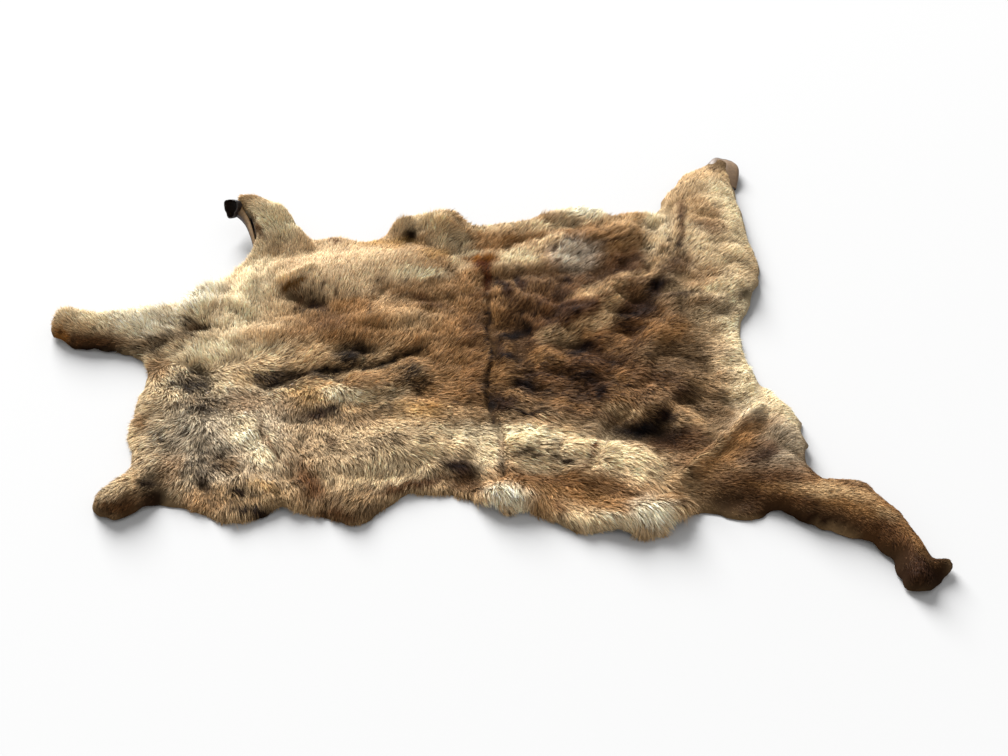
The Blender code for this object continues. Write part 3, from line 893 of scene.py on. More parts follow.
MARKINGS = table(
    "x y long wide turn strength colour",
    [
        # the broad ones first
        (-0.50, -0.02, 0.26, 0.40, 0, 0.9, "beige"),
        (-0.22, 0.05, 0.22, 0.40, 0, 0.9, "tan"),
        (-0.25, 0.24, 0.18, 0.12, 0, 0.9, "pink_tan"),
        (-0.05, 0.02, 0.12, 0.24, 0, 0.6, "golden"),
        (0.25, 0.00, 0.27, 0.34, 0, 1.0, "brown"),
        (0.03, -0.02, 0.08, 0.30, 0, 0.7, "golden"),
        (0.16, 0.33, 0.28, 0.09, 0, 0.7, "golden"),
        (0.56, 0.28, 0.12, 0.32, 0, 1.0, "beige"),
        (0.56, 0.02, 0.07, 0.16, 0, 0.9, "cream"),
        (0.58, -0.18, 0.06, 0.12, 0, 0.9, "cream"),
        (0.58, -0.30, 0.09, 0.10, 0, 0.8, "grey"),
        (0.585, -0.29, 0.04, 0.05, 20, 0.45, "grey_brown"),
        (0.605, -0.215, 0.06, 0.022, -55, 0.7, "cream"),
        (0.60, -0.43, 0.22, 0.08, -10, 1.0, "brown"),
        (0.76, -0.52, 0.12, 0.08, -55, 1.0, "brown"),
        (0.79, -0.62, 0.07, 0.07, 0, 1.0, "deep"),
        (0.18, -0.355, 0.20, 0.095, -8, 1.0, "beige"),
        (0.20, -0.42, 0.18, 0.05, -14, 0.9, "golden"),
        (0.15, -0.395, 0.10, 0.026, -14, 0.5, "brown"),
        (-0.15, -0.34, 0.15, 0.10, 0, 0.9, "beige"),
        (-0.20, -0.18, 0.12, 0.08, 0, 0.6, "tan"),
        (-0.45, -0.30, 0.14, 0.14, 0, 0.8, "grey"),
        # neck strip and collar
        (-0.77, 0.06, 0.08, 0.04, 0, 0.8, "cream"),
        (-0.80, 0.03, 0.05, 0.03, 0, 0.6, "tan"),
        # the brown and dark bands on the strip's near side are partly its fur and partly painted shade,
        # on the side turned from the light
        (-0.78, -0.02, 0.12, 0.035, 0, 0.9, "brown"),
        (-0.76, -0.045, 0.10, 0.02, 0, 0.9, "dark"),
        (-0.830, 0.00, 0.018, 0.025, 0, 0.8, "rust"),
        (-0.66, 0.05, 0.07, 0.045, 0, 1.0, "white"),
        (-0.57, 0.14, 0.07, 0.05, 30, 1.0, "white"),
        (-0.60, 0.09, 0.05, 0.02, 20, 0.3, "grey"),
        (-0.555, 0.028, 0.035, 0.018, -25, 0.8, "grey_brown"),
        (-0.60, 0.000, 0.05, 0.022, 15, 0.6, "grey_brown"),
        (-0.63, -0.03, 0.04, 0.03, -40, 0.6, "grey_brown"),
        (-0.61, -0.10, 0.03, 0.04, 0, 0.6, "golden"),
        (-0.52, -0.045, 0.06, 0.04, 0, 0.8, "cream"),
        # shoulder: the pale band before it and the brown wedge on it
        (-0.46, 0.14, 0.05, 0.16, -5, 0.7, "cream"),
        (-0.425, 0.285, 0.025, 0.02, 0, 0.5, "tan"),
        (-0.290, 0.335, 0.022, 0.008, -30, 0.7, "brown"),
        (-0.40, -0.04, 0.06, 0.025, 0, 0.5, "cream"),
        (-0.25, 0.06, 0.11, 0.05, -10, 0.7, "golden"),
        (-0.23, 0.02, 0.09, 0.05, 0, 0.8, "golden"),
        (-0.29, 0.05, 0.05, 0.035, 0, 0.55, "brown"),
        (-0.41, 0.014, 0.055, 0.022, -5, 0.8, "tan"),
        (-0.34, 0.020, 0.035, 0.022, 0, 0.6, "golden"),
        (-0.24, 0.108, 0.06, 0.028, 0, 0.95, "golden"),
        # the hollow under the shoulder's swell: its colours are partly fur and partly painted shade in
        # it
        (-0.340, 0.125, 0.045, 0.032, -20, 0.7, "grey_brown"),
        (-0.312, 0.100, 0.028, 0.018, -20, 0.8, "deep"),
        (-0.356, 0.120, 0.010, 0.030, 15, 0.6, "brown"),
        (-0.374, 0.160, 0.024, 0.011, 25, 1.0, "amber"),
        (-0.350, 0.182, 0.018, 0.010, 50, 1.0, "amber"),
        # painted shade in the shallow hollow across the shoulder
        (-0.08, 0.125, 0.055, 0.016, -32, 0.7, "brown"),
        (-0.15, 0.157, 0.05, 0.012, 5, 0.5, "golden"),
        (-0.11, 0.06, 0.05, 0.04, 0, 0.6, "tan"),
        (-0.303, 0.172, 0.004, 0.020, 0, 0.8, "deep"),
        (-0.272, 0.148, 0.004, 0.014, -15, 0.7, "deep"),
        (-0.126, 0.188, 0.004, 0.012, -20, 0.8, "deep"),
        (-0.182, 0.186, 0.012, 0.004, 25, 0.8, "deep"),
        (-0.203, 0.090, 0.004, 0.024, -12, 0.7, "deep"),
        (-0.205, 0.020, 0.004, 0.035, -8, 0.6, "brown"),
        # far foreleg
        (-0.43, 0.40, 0.08, 0.07, 0, 0.9, "cream"),
        (-0.42, 0.42, 0.03, 0.03, 20, 0.5, "beige"),
        # painted shade in the hollow inside the rolled left edge
        (-0.468, 0.37, 0.010, 0.045, 30, 0.8, "brown"),
        # spine creases, their black and dark lines painted shade in them, and the grizzled patches
        # beside them
        (-0.30, -0.115, 0.05, 0.012, 20, 0.7, "dark"),
        (-0.260, -0.100, 0.04, 0.008, 15, 0.9, "black"),
        (-0.195, -0.094, 0.045, 0.008, 10, 1.0, "black"),
        (-0.140, -0.070, 0.045, 0.008, 35, 1.0, "black"),
        (-0.105, -0.042, 0.025, 0.010, 40, 0.9, "dark"),
        (-0.220, -0.052, 0.045, 0.018, 18, 0.7, "dark"),
        (-0.175, -0.070, 0.03, 0.008, 25, 0.7, "tan"),
        (-0.380, -0.135, 0.038, 0.028, 30, 0.7, "deep"),
        (-0.335, -0.125, 0.03, 0.018, 10, 0.6, "deep"),
        (-0.53, -0.135, 0.032, 0.035, 0, 0.5, "deep"),
        (-0.50, -0.20, 0.05, 0.030, -20, 0.5, "grey_brown"),
        (-0.61, -0.26, 0.02, 0.025, 0, 0.6, "golden"),
        (-0.42, -0.13, 0.04, 0.03, 0, 0.3, "ochre"),
        (-0.42, -0.20, 0.05, 0.025, 0, 0.4, "golden"),
        (-0.285, -0.235, 0.034, 0.020, 25, 0.9, "deep"),
        (-0.252, -0.212, 0.016, 0.010, 40, 0.9, "dark"),
        (-0.30, -0.18, 0.04, 0.03, 30, 0.4, "ochre"),
        (-0.17, -0.13, 0.07, 0.025, 15, 0.5, "golden"),
        (-0.10, -0.13, 0.04, 0.04, 0, 0.6, "grey_brown"),
        (-0.22, -0.175, 0.05, 0.025, -15, 0.8, "cream"),
        (-0.14, -0.175, 0.04, 0.025, 0, 0.5, "beige"),
        # belly, left
        (-0.240, -0.312, 0.014, 0.010, 0, 0.7, "deep"),
        (-0.05, -0.17, 0.05, 0.06, 0, 0.5, "golden"),
        (-0.08, -0.22, 0.05, 0.03, 0, 0.4, "ochre"),
        (-0.11, -0.30, 0.03, 0.012, 20, 0.4, "grey_brown"),
        (-0.25, -0.335, 0.14, 0.060, 5, 0.45, "grey_brown"),
        (-0.425, -0.365, 0.040, 0.028, -40, 0.80, "grey_brown"),
        (-0.290, -0.390, 0.050, 0.035, 0, 0.50, "grey_brown"),
        (-0.20, -0.240, 0.10, 0.022, 12, 0.55, "grey_brown"),
        (-0.325, -0.215, 0.045, 0.030, 20, 0.60, "grey_brown"),
        # near edge, its left half
        (-0.385, -0.305, 0.090, 0.032, -55, 0.9, "cream"),
        (-0.345, -0.330, 0.110, 0.006, -62, 0.7, "brown"),
        (-0.39, -0.31, 0.04, 0.02, -45, 0.4, "white"),
        (-0.47, -0.36, 0.020, 0.06, 12, 0.4, "grey_brown"),
        (-0.53, -0.38, 0.03, 0.05, 0, 0.5, "golden"),
        (-0.45, -0.46, 0.06, 0.03, 0, 0.6, "golden"),
        (-0.38, -0.44, 0.08, 0.03, 0, 0.6, "tan"),
        (-0.36, -0.415, 0.04, 0.012, -20, 0.4, "ochre"),
        # the dark band at the near rim: partly its fur, partly painted shade where the rim rolls under
        (-0.37, -0.487, 0.05, 0.020, 0, 0.9, "dark"),
        (-0.402, -0.436, 0.016, 0.010, 0, 0.9, "dark"),
        (-0.46, -0.42, 0.010, 0.03, 20, 0.7, "deep"),
        (-0.60, -0.465, 0.05, 0.035, 10, 0.85, "brown"),
        (-0.63, -0.42, 0.03, 0.03, 30, 0.7, "beige"),
        (-0.565, -0.410, 0.018, 0.022, 0, 0.8, "dark"),
        (-0.55, -0.455, 0.02, 0.03, 0, 0.8, "deep"),
        (-0.275, -0.42, 0.026, 0.06, 8, 0.85, "brown"),
        (-0.24, -0.46, 0.018, 0.04, 0, 0.4, "brown"),
        (-0.20, -0.47, 0.07, 0.035, 0, 0.9, "grey_brown"),
        (-0.19, -0.46, 0.04, 0.02, 40, 0.25, "tan"),
        (-0.22, -0.498, 0.05, 0.012, 0, 0.8, "brown"),
        (-0.09, -0.420, 0.07, 0.018, 12, 0.9, "brown"),
        # painted shadow in the hollow by the near edge
        (-0.005, -0.375, 0.045, 0.032, -30, 0.95, "deep"),
        (-0.015, -0.372, 0.020, 0.012, 0, 0.8, "dark"),
        (0.01, -0.42, 0.05, 0.025, -20, 0.7, "brown"),
        # far side and its edge
        (-0.10, 0.40, 0.07, 0.05, 0, 0.9, "beige"),
        # painted shade in the crease at the end of the curled lip
        (-0.12, 0.34, 0.018, 0.03, 0, 0.9, "dark"),
        (-0.030, 0.335, 0.050, 0.040, 0, 0.95, "beige"),
        (-0.06, 0.285, 0.04, 0.02, 0, 0.4, "ochre"),
        (0.00, 0.285, 0.035, 0.022, 0, 0.7, "cream"),
        (-0.100, 0.212, 0.060, 0.024, 4, 0.95, "cream"),
        (-0.18, 0.32, 0.08, 0.02, 0, 0.6, "ochre"),
        (0.10, 0.385, 0.12, 0.03, 0, 0.7, "beige"),
        (0.10, 0.37, 0.04, 0.02, 0, 0.3, "golden"),
        (0.255, 0.445, 0.06, 0.04, 0, 1.0, "white"),
        (0.42, 0.40, 0.03, 0.07, 0, 0.8, "cream"),
        (0.400, 0.305, 0.018, 0.060, -4, 0.8, "beige"),
        (0.35, 0.41, 0.05, 0.03, 20, 0.6, "tan"),
        (0.22, 0.395, 0.07, 0.022, 5, 0.7, "beige"),
        # pale fur round the stain, and the grey patch with its creases, their dark lines painted shade
        (0.10, 0.265, 0.07, 0.035, 0, 0.8, "beige"),
        (0.12, 0.275, 0.04, 0.018, 0, 0.5, "cream"),
        (-0.01, 0.25, 0.03, 0.03, 0, 0.6, "beige"),
        (0.17, 0.32, 0.05, 0.025, 30, 0.5, "beige"),
        (0.235, 0.28, 0.055, 0.060, 0, 0.9, "ash"),
        (0.34, 0.25, 0.07, 0.05, 30, 0.75, "brown"),
        (0.35, 0.24, 0.04, 0.025, 40, 0.45, "deep"),
        (0.31, 0.333, 0.045, 0.006, 27, 0.8, "deep"),
        (0.226, 0.325, 0.022, 0.006, -35, 0.9, "dark"),
        (0.192, 0.300, 0.006, 0.024, 0, 0.8, "deep"),
        (0.205, 0.252, 0.012, 0.007, 30, 0.7, "deep"),
        # stain and the fold across the loin
        (0.030, 0.262, 0.036, 0.020, 0, 1.0, "rust"),
        (0.036, 0.235, 0.020, 0.028, 0, 1.0, "stain"),
        (0.043, 0.190, 0.012, 0.038, -6, 0.9, "stain"),
        (0.030, 0.135, 0.030, 0.025, 0, 0.6, "brown"),
        (0.036, 0.120, 0.008, 0.007, 0, 0.6, "tan"),
        (0.020, 0.03, 0.03, 0.08, 0, 0.5, "brown"),
        (0.020, -0.14, 0.03, 0.09, 0, 0.4, "brown"),
        # loin: its ground colours
        (0.28, 0.155, 0.07, 0.020, 25, 0.6, "tan"),
        (0.36, 0.208, 0.045, 0.012, 5, 0.7, "tan"),
        (0.405, 0.245, 0.010, 0.030, 8, 0.6, "tan"),
        (0.25, 0.03, 0.05, 0.035, 30, 0.7, "golden"),
        (0.23, 0.04, 0.03, 0.020, 40, 0.5, "tan"),
        (0.19, 0.00, 0.045, 0.032, 20, 0.9, "tan"),
        (0.29, 0.056, 0.045, 0.026, 40, 0.9, "tan"),
        (0.315, 0.118, 0.034, 0.020, 45, 0.8, "tan"),
        (0.16, -0.06, 0.05, 0.03, 10, 0.8, "golden"),
        (0.31, -0.02, 0.03, 0.05, 0, 0.5, "golden"),
        (0.415, 0.015, 0.055, 0.050, 20, 0.8, "golden"),
        (0.40, -0.06, 0.07, 0.05, 0, 0.6, "grey_brown"),
        (0.09, -0.13, 0.035, 0.03, 0, 0.7, "golden"),
        (0.18, -0.19, 0.06, 0.016, -12, 0.6, "golden"),
        (0.31, -0.15, 0.025, 0.05, 0, 0.5, "golden"),
        (0.31, -0.22, 0.04, 0.02, -10, 0.7, "tan"),
        (0.17, -0.27, 0.06, 0.02, -5, 0.5, "tan"),
        # loin: its blotches, the coat's own dark patches, and its thin dark lines, painted shade in its
        # creases
        (0.082, 0.155, 0.050, 0.016, -65, 0.85, "deep"),
        (0.116, 0.175, 0.035, 0.013, -80, 0.85, "deep"),
        (0.105, 0.070, 0.028, 0.060, 10, 0.5, "brown"),
        (0.122, 0.018, 0.030, 0.013, 28, 1.0, "dark"),
        (0.098, 0.000, 0.018, 0.012, 40, 0.8, "dark"),
        (0.088, -0.062, 0.026, 0.020, -20, 1.0, "dark"),
        (0.076, -0.025, 0.010, 0.030, 0, 0.7, "deep"),
        (0.235, -0.032, 0.042, 0.018, 35, 1.0, "dark"),
        (0.225, 0.090, 0.055, 0.018, 15, 0.8, "deep"),
        (0.215, 0.182, 0.010, 0.010, 0, 0.8, "deep"),
        (0.195, 0.135, 0.030, 0.015, 45, 0.5, "deep"),
        (0.165, 0.105, 0.020, 0.010, -30, 0.6, "deep"),
        (0.360, 0.090, 0.055, 0.025, 28, 0.9, "deep"),
        (0.412, 0.160, 0.045, 0.022, 65, 0.9, "deep"),
        (0.408, 0.170, 0.020, 0.012, 60, 0.8, "dark"),
        (0.335, 0.068, 0.025, 0.010, 20, 0.8, "dark"),
        (0.455, 0.140, 0.035, 0.010, 20, 0.7, "deep"),
        (0.345, 0.028, 0.035, 0.005, -12, 0.8, "deep"),
        (0.290, -0.085, 0.030, 0.006, -30, 0.8, "deep"),
        (0.135, -0.115, 0.045, 0.006, -8, 0.8, "deep"),
        (0.128, -0.150, 0.036, 0.024, -35, 0.95, "dark"),
        (0.255, -0.150, 0.028, 0.045, 15, 0.7, "deep"),
        (0.268, -0.172, 0.012, 0.030, 10, 0.9, "dark"),
        (0.235, -0.118, 0.035, 0.010, 8, 0.9, "dark"),
        (0.075, -0.200, 0.035, 0.028, -30, 0.85, "deep"),
        (0.130, -0.228, 0.050, 0.007, -8, 0.9, "dark"),
        (0.212, -0.226, 0.011, 0.006, -30, 0.9, "dark"),
        (0.165, -0.262, 0.020, 0.012, 0, 0.5, "brown"),
        # the darkest patch: partly dark fur, and its black middle painted shadow in the hollow before
        # the rump
        (0.400, -0.305, 0.060, 0.030, 5, 0.8, "brown"),
        (0.420, -0.285, 0.045, 0.022, 10, 0.7, "deep"),
        (0.385, -0.240, 0.032, 0.026, 0, 0.9, "dark"),
        (0.345, -0.272, 0.064, 0.026, 5, 1.0, "black"),
        (0.445, -0.185, 0.045, 0.030, -20, 0.8, "deep"),
        (0.400, -0.130, 0.050, 0.025, -20, 0.5, "deep"),
        # the thin dark line of the fold, painted shade in its crease, from the stain to the near edge
        (0.049, 0.075, 0.005, 0.040, 3, 0.9, "dark"),
        (0.046, 0.020, 0.006, 0.030, 0, 0.9, "dark"),
        (0.055, -0.030, 0.005, 0.032, 15, 0.9, "dark"),
        (0.056, -0.080, 0.006, 0.030, -12, 0.9, "dark"),
        (0.043, -0.135, 0.006, 0.035, -8, 1.0, "black"),
        (0.050, -0.200, 0.008, 0.040, 12, 1.0, "dark"),
        (0.066, -0.250, 0.006, 0.030, 20, 0.9, "deep"),
        # the stain colour here is painted shade in the crease too
        (0.075, -0.310, 0.007, 0.050, 0, 0.9, "stain"),
        (0.080, -0.365, 0.010, 0.030, 0, 0.7, "deep"),
        # far hind leg: dark lines painted as shade in the crease beside the body, and a brown middle
        # that is partly its fur and partly painted shade
        (0.468, 0.38, 0.010, 0.11, -6, 0.7, "brown"),
        (0.480, 0.44, 0.012, 0.05, -12, 0.7, "deep"),
        (0.463, 0.31, 0.010, 0.014, 0, 0.8, "dark"),
        (0.535, 0.41, 0.04, 0.06, 20, 0.6, "golden"),
        (0.530, 0.365, 0.030, 0.035, 20, 0.5, "brown"),
        (0.51, 0.46, 0.045, 0.055, 20, 0.9, "tan"),
        (0.472, 0.450, 0.012, 0.035, -12, 0.6, "brown"),
        (0.455, 0.24, 0.03, 0.05, -30, 0.7, "brown"),
        (0.575, 0.50, 0.040, 0.06, 0, 0.6, "cream"),
        (0.60, 0.40, 0.03, 0.12, 0, 0.5, "cream"),
        # flank between the hind legs, and the fur at the far one's dried end
        (0.59, 0.14, 0.02, 0.015, 0, 0.7, "deep"),
        (0.50, 0.20, 0.05, 0.03, 30, 0.5, "golden"),
        (0.51, 0.00, 0.03, 0.08, 0, 0.4, "golden"),
        (0.485, -0.215, 0.045, 0.060, 15, 0.85, "grey_brown"),
        (0.470, -0.060, 0.035, 0.070, 0, 0.75, "grey_brown"),
        (0.485, 0.110, 0.055, 0.026, 8, 0.85, "grey_brown"),
        (0.540, 0.085, 0.035, 0.022, 10, 0.6, "grey_brown"),
        (0.605, 0.110, 0.022, 0.040, 0, 0.8, "cream"),
        (0.590, 0.640, 0.04, 0.03, 50, 0.8, "grey_brown"),
        # near hind leg
        (0.43, -0.33, 0.06, 0.030, 48, 0.6, "brown"),
        (0.51, -0.31, 0.11, 0.030, 47, 0.9, "golden"),
        (0.475, -0.310, 0.115, 0.006, 48, 0.7, "tan"),
        (0.55, -0.325, 0.05, 0.03, 30, 0.7, "brown"),
        (0.565, -0.335, 0.04, 0.018, 30, 0.7, "deep"),
        (0.50, -0.47, 0.09, 0.03, -5, 0.6, "deep"),
        (0.62, -0.50, 0.10, 0.02, -10, 0.8, "deep"),
        (0.70, -0.445, 0.085, 0.034, -20, 0.95, "golden"),
        (0.66, -0.425, 0.080, 0.020, -6, 0.9, "tan"),
        (0.755, -0.475, 0.035, 0.016, -45, 0.6, "tan"),
        (0.575, -0.425, 0.060, 0.016, -8, 0.6, "golden"),
        (0.74, -0.53, 0.03, 0.06, -30, 0.6, "brown"),
        (0.79, -0.54, 0.02, 0.05, 20, 0.5, "golden"),
        # belly, right
        (0.05, -0.34, 0.03, 0.05, 0, 0.6, "cream"),
        (0.02, -0.28, 0.06, 0.03, -10, 0.9, "cream"),
        (0.00, -0.24, 0.05, 0.03, 0, 0.5, "tan"),
        (0.13, -0.285, 0.07, 0.020, -8, 0.9, "cream"),
        (0.15, -0.365, 0.05, 0.022, -10, 0.8, "beige"),
        (0.29, -0.32, 0.05, 0.022, -20, 0.6, "cream"),
        (0.127, -0.337, 0.014, 0.009, 40, 1.0, "dark"),
        (0.146, -0.343, 0.010, 0.007, 60, 1.0, "dark"),
        (0.118, -0.347, 0.006, 0.004, 30, 0.9, "dark"),
        (0.200, -0.357, 0.014, 0.008, -35, 1.0, "dark"),
        (0.186, -0.343, 0.008, 0.007, 0, 1.0, "dark"),
        (0.170, -0.327, 0.007, 0.004, 0, 0.8, "deep"),
        # painted shade in the creases across the belly: the line in the stain colour and the brown one
        # after it
        (0.252, -0.333, 0.044, 0.005, 66, 0.9, "stain"),
        (0.225, -0.382, 0.018, 0.006, 25, 0.7, "brown"),
        (0.34, -0.37, 0.06, 0.035, -35, 0.8, "beige"),
        (0.28, -0.43, 0.07, 0.020, -20, 0.5, "brown"),
        (0.26, -0.47, 0.06, 0.015, -15, 0.6, "golden"),
        (0.085, -0.450, 0.045, 0.030, -5, 1.0, "white"),
        (0.155, -0.470, 0.035, 0.030, -40, 0.6, "golden"),
        (0.185, -0.478, 0.010, 0.025, 20, 0.7, "brown"),
        (0.25, -0.515, 0.07, 0.025, -8, 0.9, "beige"),
        (0.27, -0.505, 0.03, 0.012, -8, 0.5, "white"),
        (0.345, -0.490, 0.045, 0.040, 0, 1.0, "white"),
        (0.400, -0.468, 0.020, 0.008, -40, 0.8, "deep"),
        (0.40, -0.41, 0.03, 0.03, 0, 0.6, "tan"),
    ],
)


def glazed(x, y):
    """Each marking covers what is under it, by 1.2 strength times exp of minus distance^4.

    The distance is 1 on the oval's edge, and no marking covers more than wholly."""
    colour = np.zeros(np.shape(x) + (3,)) + PIGMENTS["tan"]
    for spot in MARKINGS:
        turn = math.radians(spot["turn"])
        c, s = math.cos(turn), math.sin(turn)
        u = ((x - spot["x"]) * c + (y - spot["y"]) * s) / spot["long"]
        v = ((y - spot["y"]) * c - (x - spot["x"]) * s) / spot["wide"]
        cover = min(1.0, 1.2 * spot["strength"]) * np.exp(-((u * u + v * v) ** 2.0))
        colour += (PIGMENTS[str(spot["colour"])] - colour) * cover[..., None]
    return colour


wander_x = 0.006 * unevenness(0.05, 11) + 0.004 * unevenness(0.02, 12)
wander_y = 0.006 * unevenness(0.05, 13) + 0.004 * unevenness(0.02, 14)
wander_x += 0.003 * unevenness(0.009, 19)
wander_y += 0.003 * unevenness(0.009, 20)
# The ovals were noted level with the coat of the back, from the near side. A place held higher
# than that looks farther off by a little more than its height, and is moved to match.
NOTED_AT = 0.026
PILE = 0.006  # how far the lying hairs' colour shows above the undercoat
FARTHER = 1.1  # how much farther off a place looks for each metre it is higher
wander_y += FARTHER * (softened(coat_map, 3) + PILE - NOTED_AT)
colour_map = glazed(knots_x + wander_x, knots_y + wander_y)
print(len(MARKINGS), "markings in", len(PIGMENTS), "colours")

# %% [markdown]
# ### Mottling and painted shade of the folds
#
# Even where a coat has one colour it is never one shade. Smooth unevenness of three sizes makes
# it lighter and darker at random; each hollow of the fur gets painted shade and each cushion painted
# light.

# %% Mottling and painted shade
shade_map = 0.5 * unevenness(0.060, 16) + 0.6 * unevenness(0.030, 17) + 0.3 * unevenness(0.015, 18)
FULL_PAINTED_SHADE = 0.006  # a hollow of this depth is painted one whole step darker as its shade; a cushion as high, lighter
painted_relief_light = np.clip(parted_map / FULL_PAINTED_SHADE, -1.6, 0.8)
# Painted shade and light: the coat's colour is darkened in its hollows and lightened on its cushions.
colour_map *= np.exp(mottle_and_shade_map * (shade_map + painted_relief_light))[..., None]
print("mottling from", round(float(mottle_and_shade_map.min()), 2), "to", round(float(mottle_and_shade_map.max()), 2))

# %% [markdown]
# ### Grizzled fur
#
# In places dark hairs stand among pale ones, which looks peppered and not merely darker. These
# rows say about what share of the hairs is dark there. Whole tufts are drawn first and then
# single hairs among the rest, so the dark ones stand in wisps.

# %% Where dark hairs are mixed in
BY_TUFT = 0.8  # the chance of a whole dark tuft where the share is 1
BY_HAIR = 0.5  # and that of a dark hair in any other tuft
GRIZZLE = table(
    "x y reach share",
    [
        (-0.53, -0.14, 0.045, 0.60),
        (-0.50, -0.21, 0.050, 0.45),
        (-0.55, -0.28, 0.050, 0.35),
        (-0.47, -0.36, 0.045, 0.45),
        (-0.38, -0.13, 0.035, 0.70),
        (-0.33, -0.125, 0.030, 0.55),
        (-0.22, -0.055, 0.035, 0.70),
        (-0.26, -0.10, 0.030, 0.50),
        (-0.26, -0.22, 0.040, 0.35),
        (-0.10, -0.13, 0.040, 0.60),
        (-0.14, -0.19, 0.040, 0.25),
        (-0.555, 0.03, 0.035, 0.35),
        (-0.63, -0.02, 0.035, 0.30),
        (-0.33, 0.12, 0.040, 0.20),
        (-0.07, -0.28, 0.050, 0.20),
        (-0.12, -0.33, 0.10, 0.10),
        (0.24, 0.29, 0.05, 0.10),
        (0.20, -0.12, 0.10, 0.25),
        (0.12, 0.05, 0.08, 0.25),
        (0.35, -0.15, 0.12, 0.15),
        (0.16, -0.34, 0.07, 0.10),
        (0.45, 0.30, 0.06, 0.25),
        (-0.37, -0.47, 0.06, 0.20),
    ],
)
dark_share_map = np.zeros(MAP_SHAPE)
for row in GRIZZLE:
    bell = np.exp(-((knots_x - row["x"]) ** 2 + (knots_y - row["y"]) ** 2) / row["reach"] ** 2)
    dark_share_map = np.maximum(dark_share_map, row["share"] * bell)
dark_share_map = np.maximum(dark_share_map * (1.0 + 0.6 * unevenness(0.018, 15)), fleck_map)
most = float(dark_share_map.max())
most_dark = 1.0 - (1.0 - BY_TUFT * most) * (1.0 - BY_HAIR * most)
print("at the darkest place", round(most_dark, 2), "of the hairs are dark")

# %% [markdown]
# ## The hairs
#
# Blender's own hair would not survive as a reusable mesh, so each hair is a slim blade of three
# triangles: two points at the root, two halfway and one at the tip. It rises from the wool and
# then lies down along the coat. Fur looks like fur because hairs stand in tufts and tufts in
# locks, so each hair is drawn towards the middle of its tuft, and every lock has a lean, a
# length and a tone of its own.

# %% Tufts and locks


def scattered(size, seed):
    """One point in each square of this size, at a random place in it, as two arrays over squares."""
    rng = np.random.default_rng(seed)
    shape = (int(MAP_SHAPE[0] * KNOT / size) + 2, int(MAP_SHAPE[1] * KNOT / size) + 2)
    corner_x = MAP_LOW[0] + size * np.arange(shape[0])[:, None]
    corner_y = MAP_LOW[1] + size * np.arange(shape[1])[None, :]
    return (
        corner_x + size * rng.uniform(0.1, 0.9, shape),
        corner_y + size * rng.uniform(0.1, 0.9, shape),
    )


def nearest(points_x, points_y, size, x, y):
    """The number of the scattered point nearest each place, looked for in nine squares."""
    shape = points_x.shape
    i = np.clip(((x - MAP_LOW[0]) / size).astype(int), 1, shape[0] - 2)
    j = np.clip(((y - MAP_LOW[1]) / size).astype(int), 1, shape[1] - 2)
    best = np.full(len(x), np.inf)
    number = np.zeros(len(x), int)
    for step_i in (-1, 0, 1):
        for step_j in (-1, 0, 1):
            candidate = (i + step_i) * shape[1] + j + step_j
            away = np.hypot(points_x.ravel()[candidate] - x, points_y.ravel()[candidate] - y)
            number = np.where(away < best, candidate, number)
            best = np.minimum(away, best)
    return number


TUFT = 0.0038  # hairs this close stand together
LOCK = 0.026  # tufts this close lie together
CLUMP = 0.0075  # grizzled fur parts into clumps of this size, light and dark by turns
tuft_x, tuft_y = scattered(TUFT, 21)
lock_x, lock_y = scattered(LOCK, 22)
lock_rng = np.random.default_rng(23)
lock_turn = lock_rng.normal(0.0, 0.24, lock_x.size)
lock_tone = lock_rng.normal(0.0, 0.08, lock_x.size)
lock_long = lock_rng.normal(1.0, 0.09, lock_x.size)
tuft_rng = np.random.default_rng(24)
tuft_turn = tuft_rng.normal(0.0, 0.18, tuft_x.size)
tuft_tone = tuft_rng.normal(0.0, 0.15, tuft_x.size)
tuft_long = tuft_rng.normal(1.0, 0.10, tuft_x.size)
tuft_rise = tuft_rng.normal(0.0, 0.14, tuft_x.size)
tuft_pull = tuft_rng.uniform(0.35, 0.90, tuft_x.size)
tuft_draw = tuft_rng.uniform(0.0, 1.0, tuft_x.size)
clump_x, clump_y = scattered(CLUMP, 25)
clump_tone = np.random.default_rng(26).normal(0.0, 1.0, clump_x.size)
print(tuft_x.size, "tufts in", lock_x.size, "locks")

# %% The stance of a hair
RISE = math.radians(34)  # how steeply a hair leaves the wool
LIE_DOWN = math.radians(7)  # and how steeply its outer half stands
ROOT_DEPTH = 0.001  # a hair is rooted this deep in the wool
RIM_LEAN = 0.010  # how far in from the rim a hair leans down over it
LOWEST = 0.0012  # no hair goes below this, so none is under the ground
TAPER = 0.85  # a hair's width halfway up against its width at the root


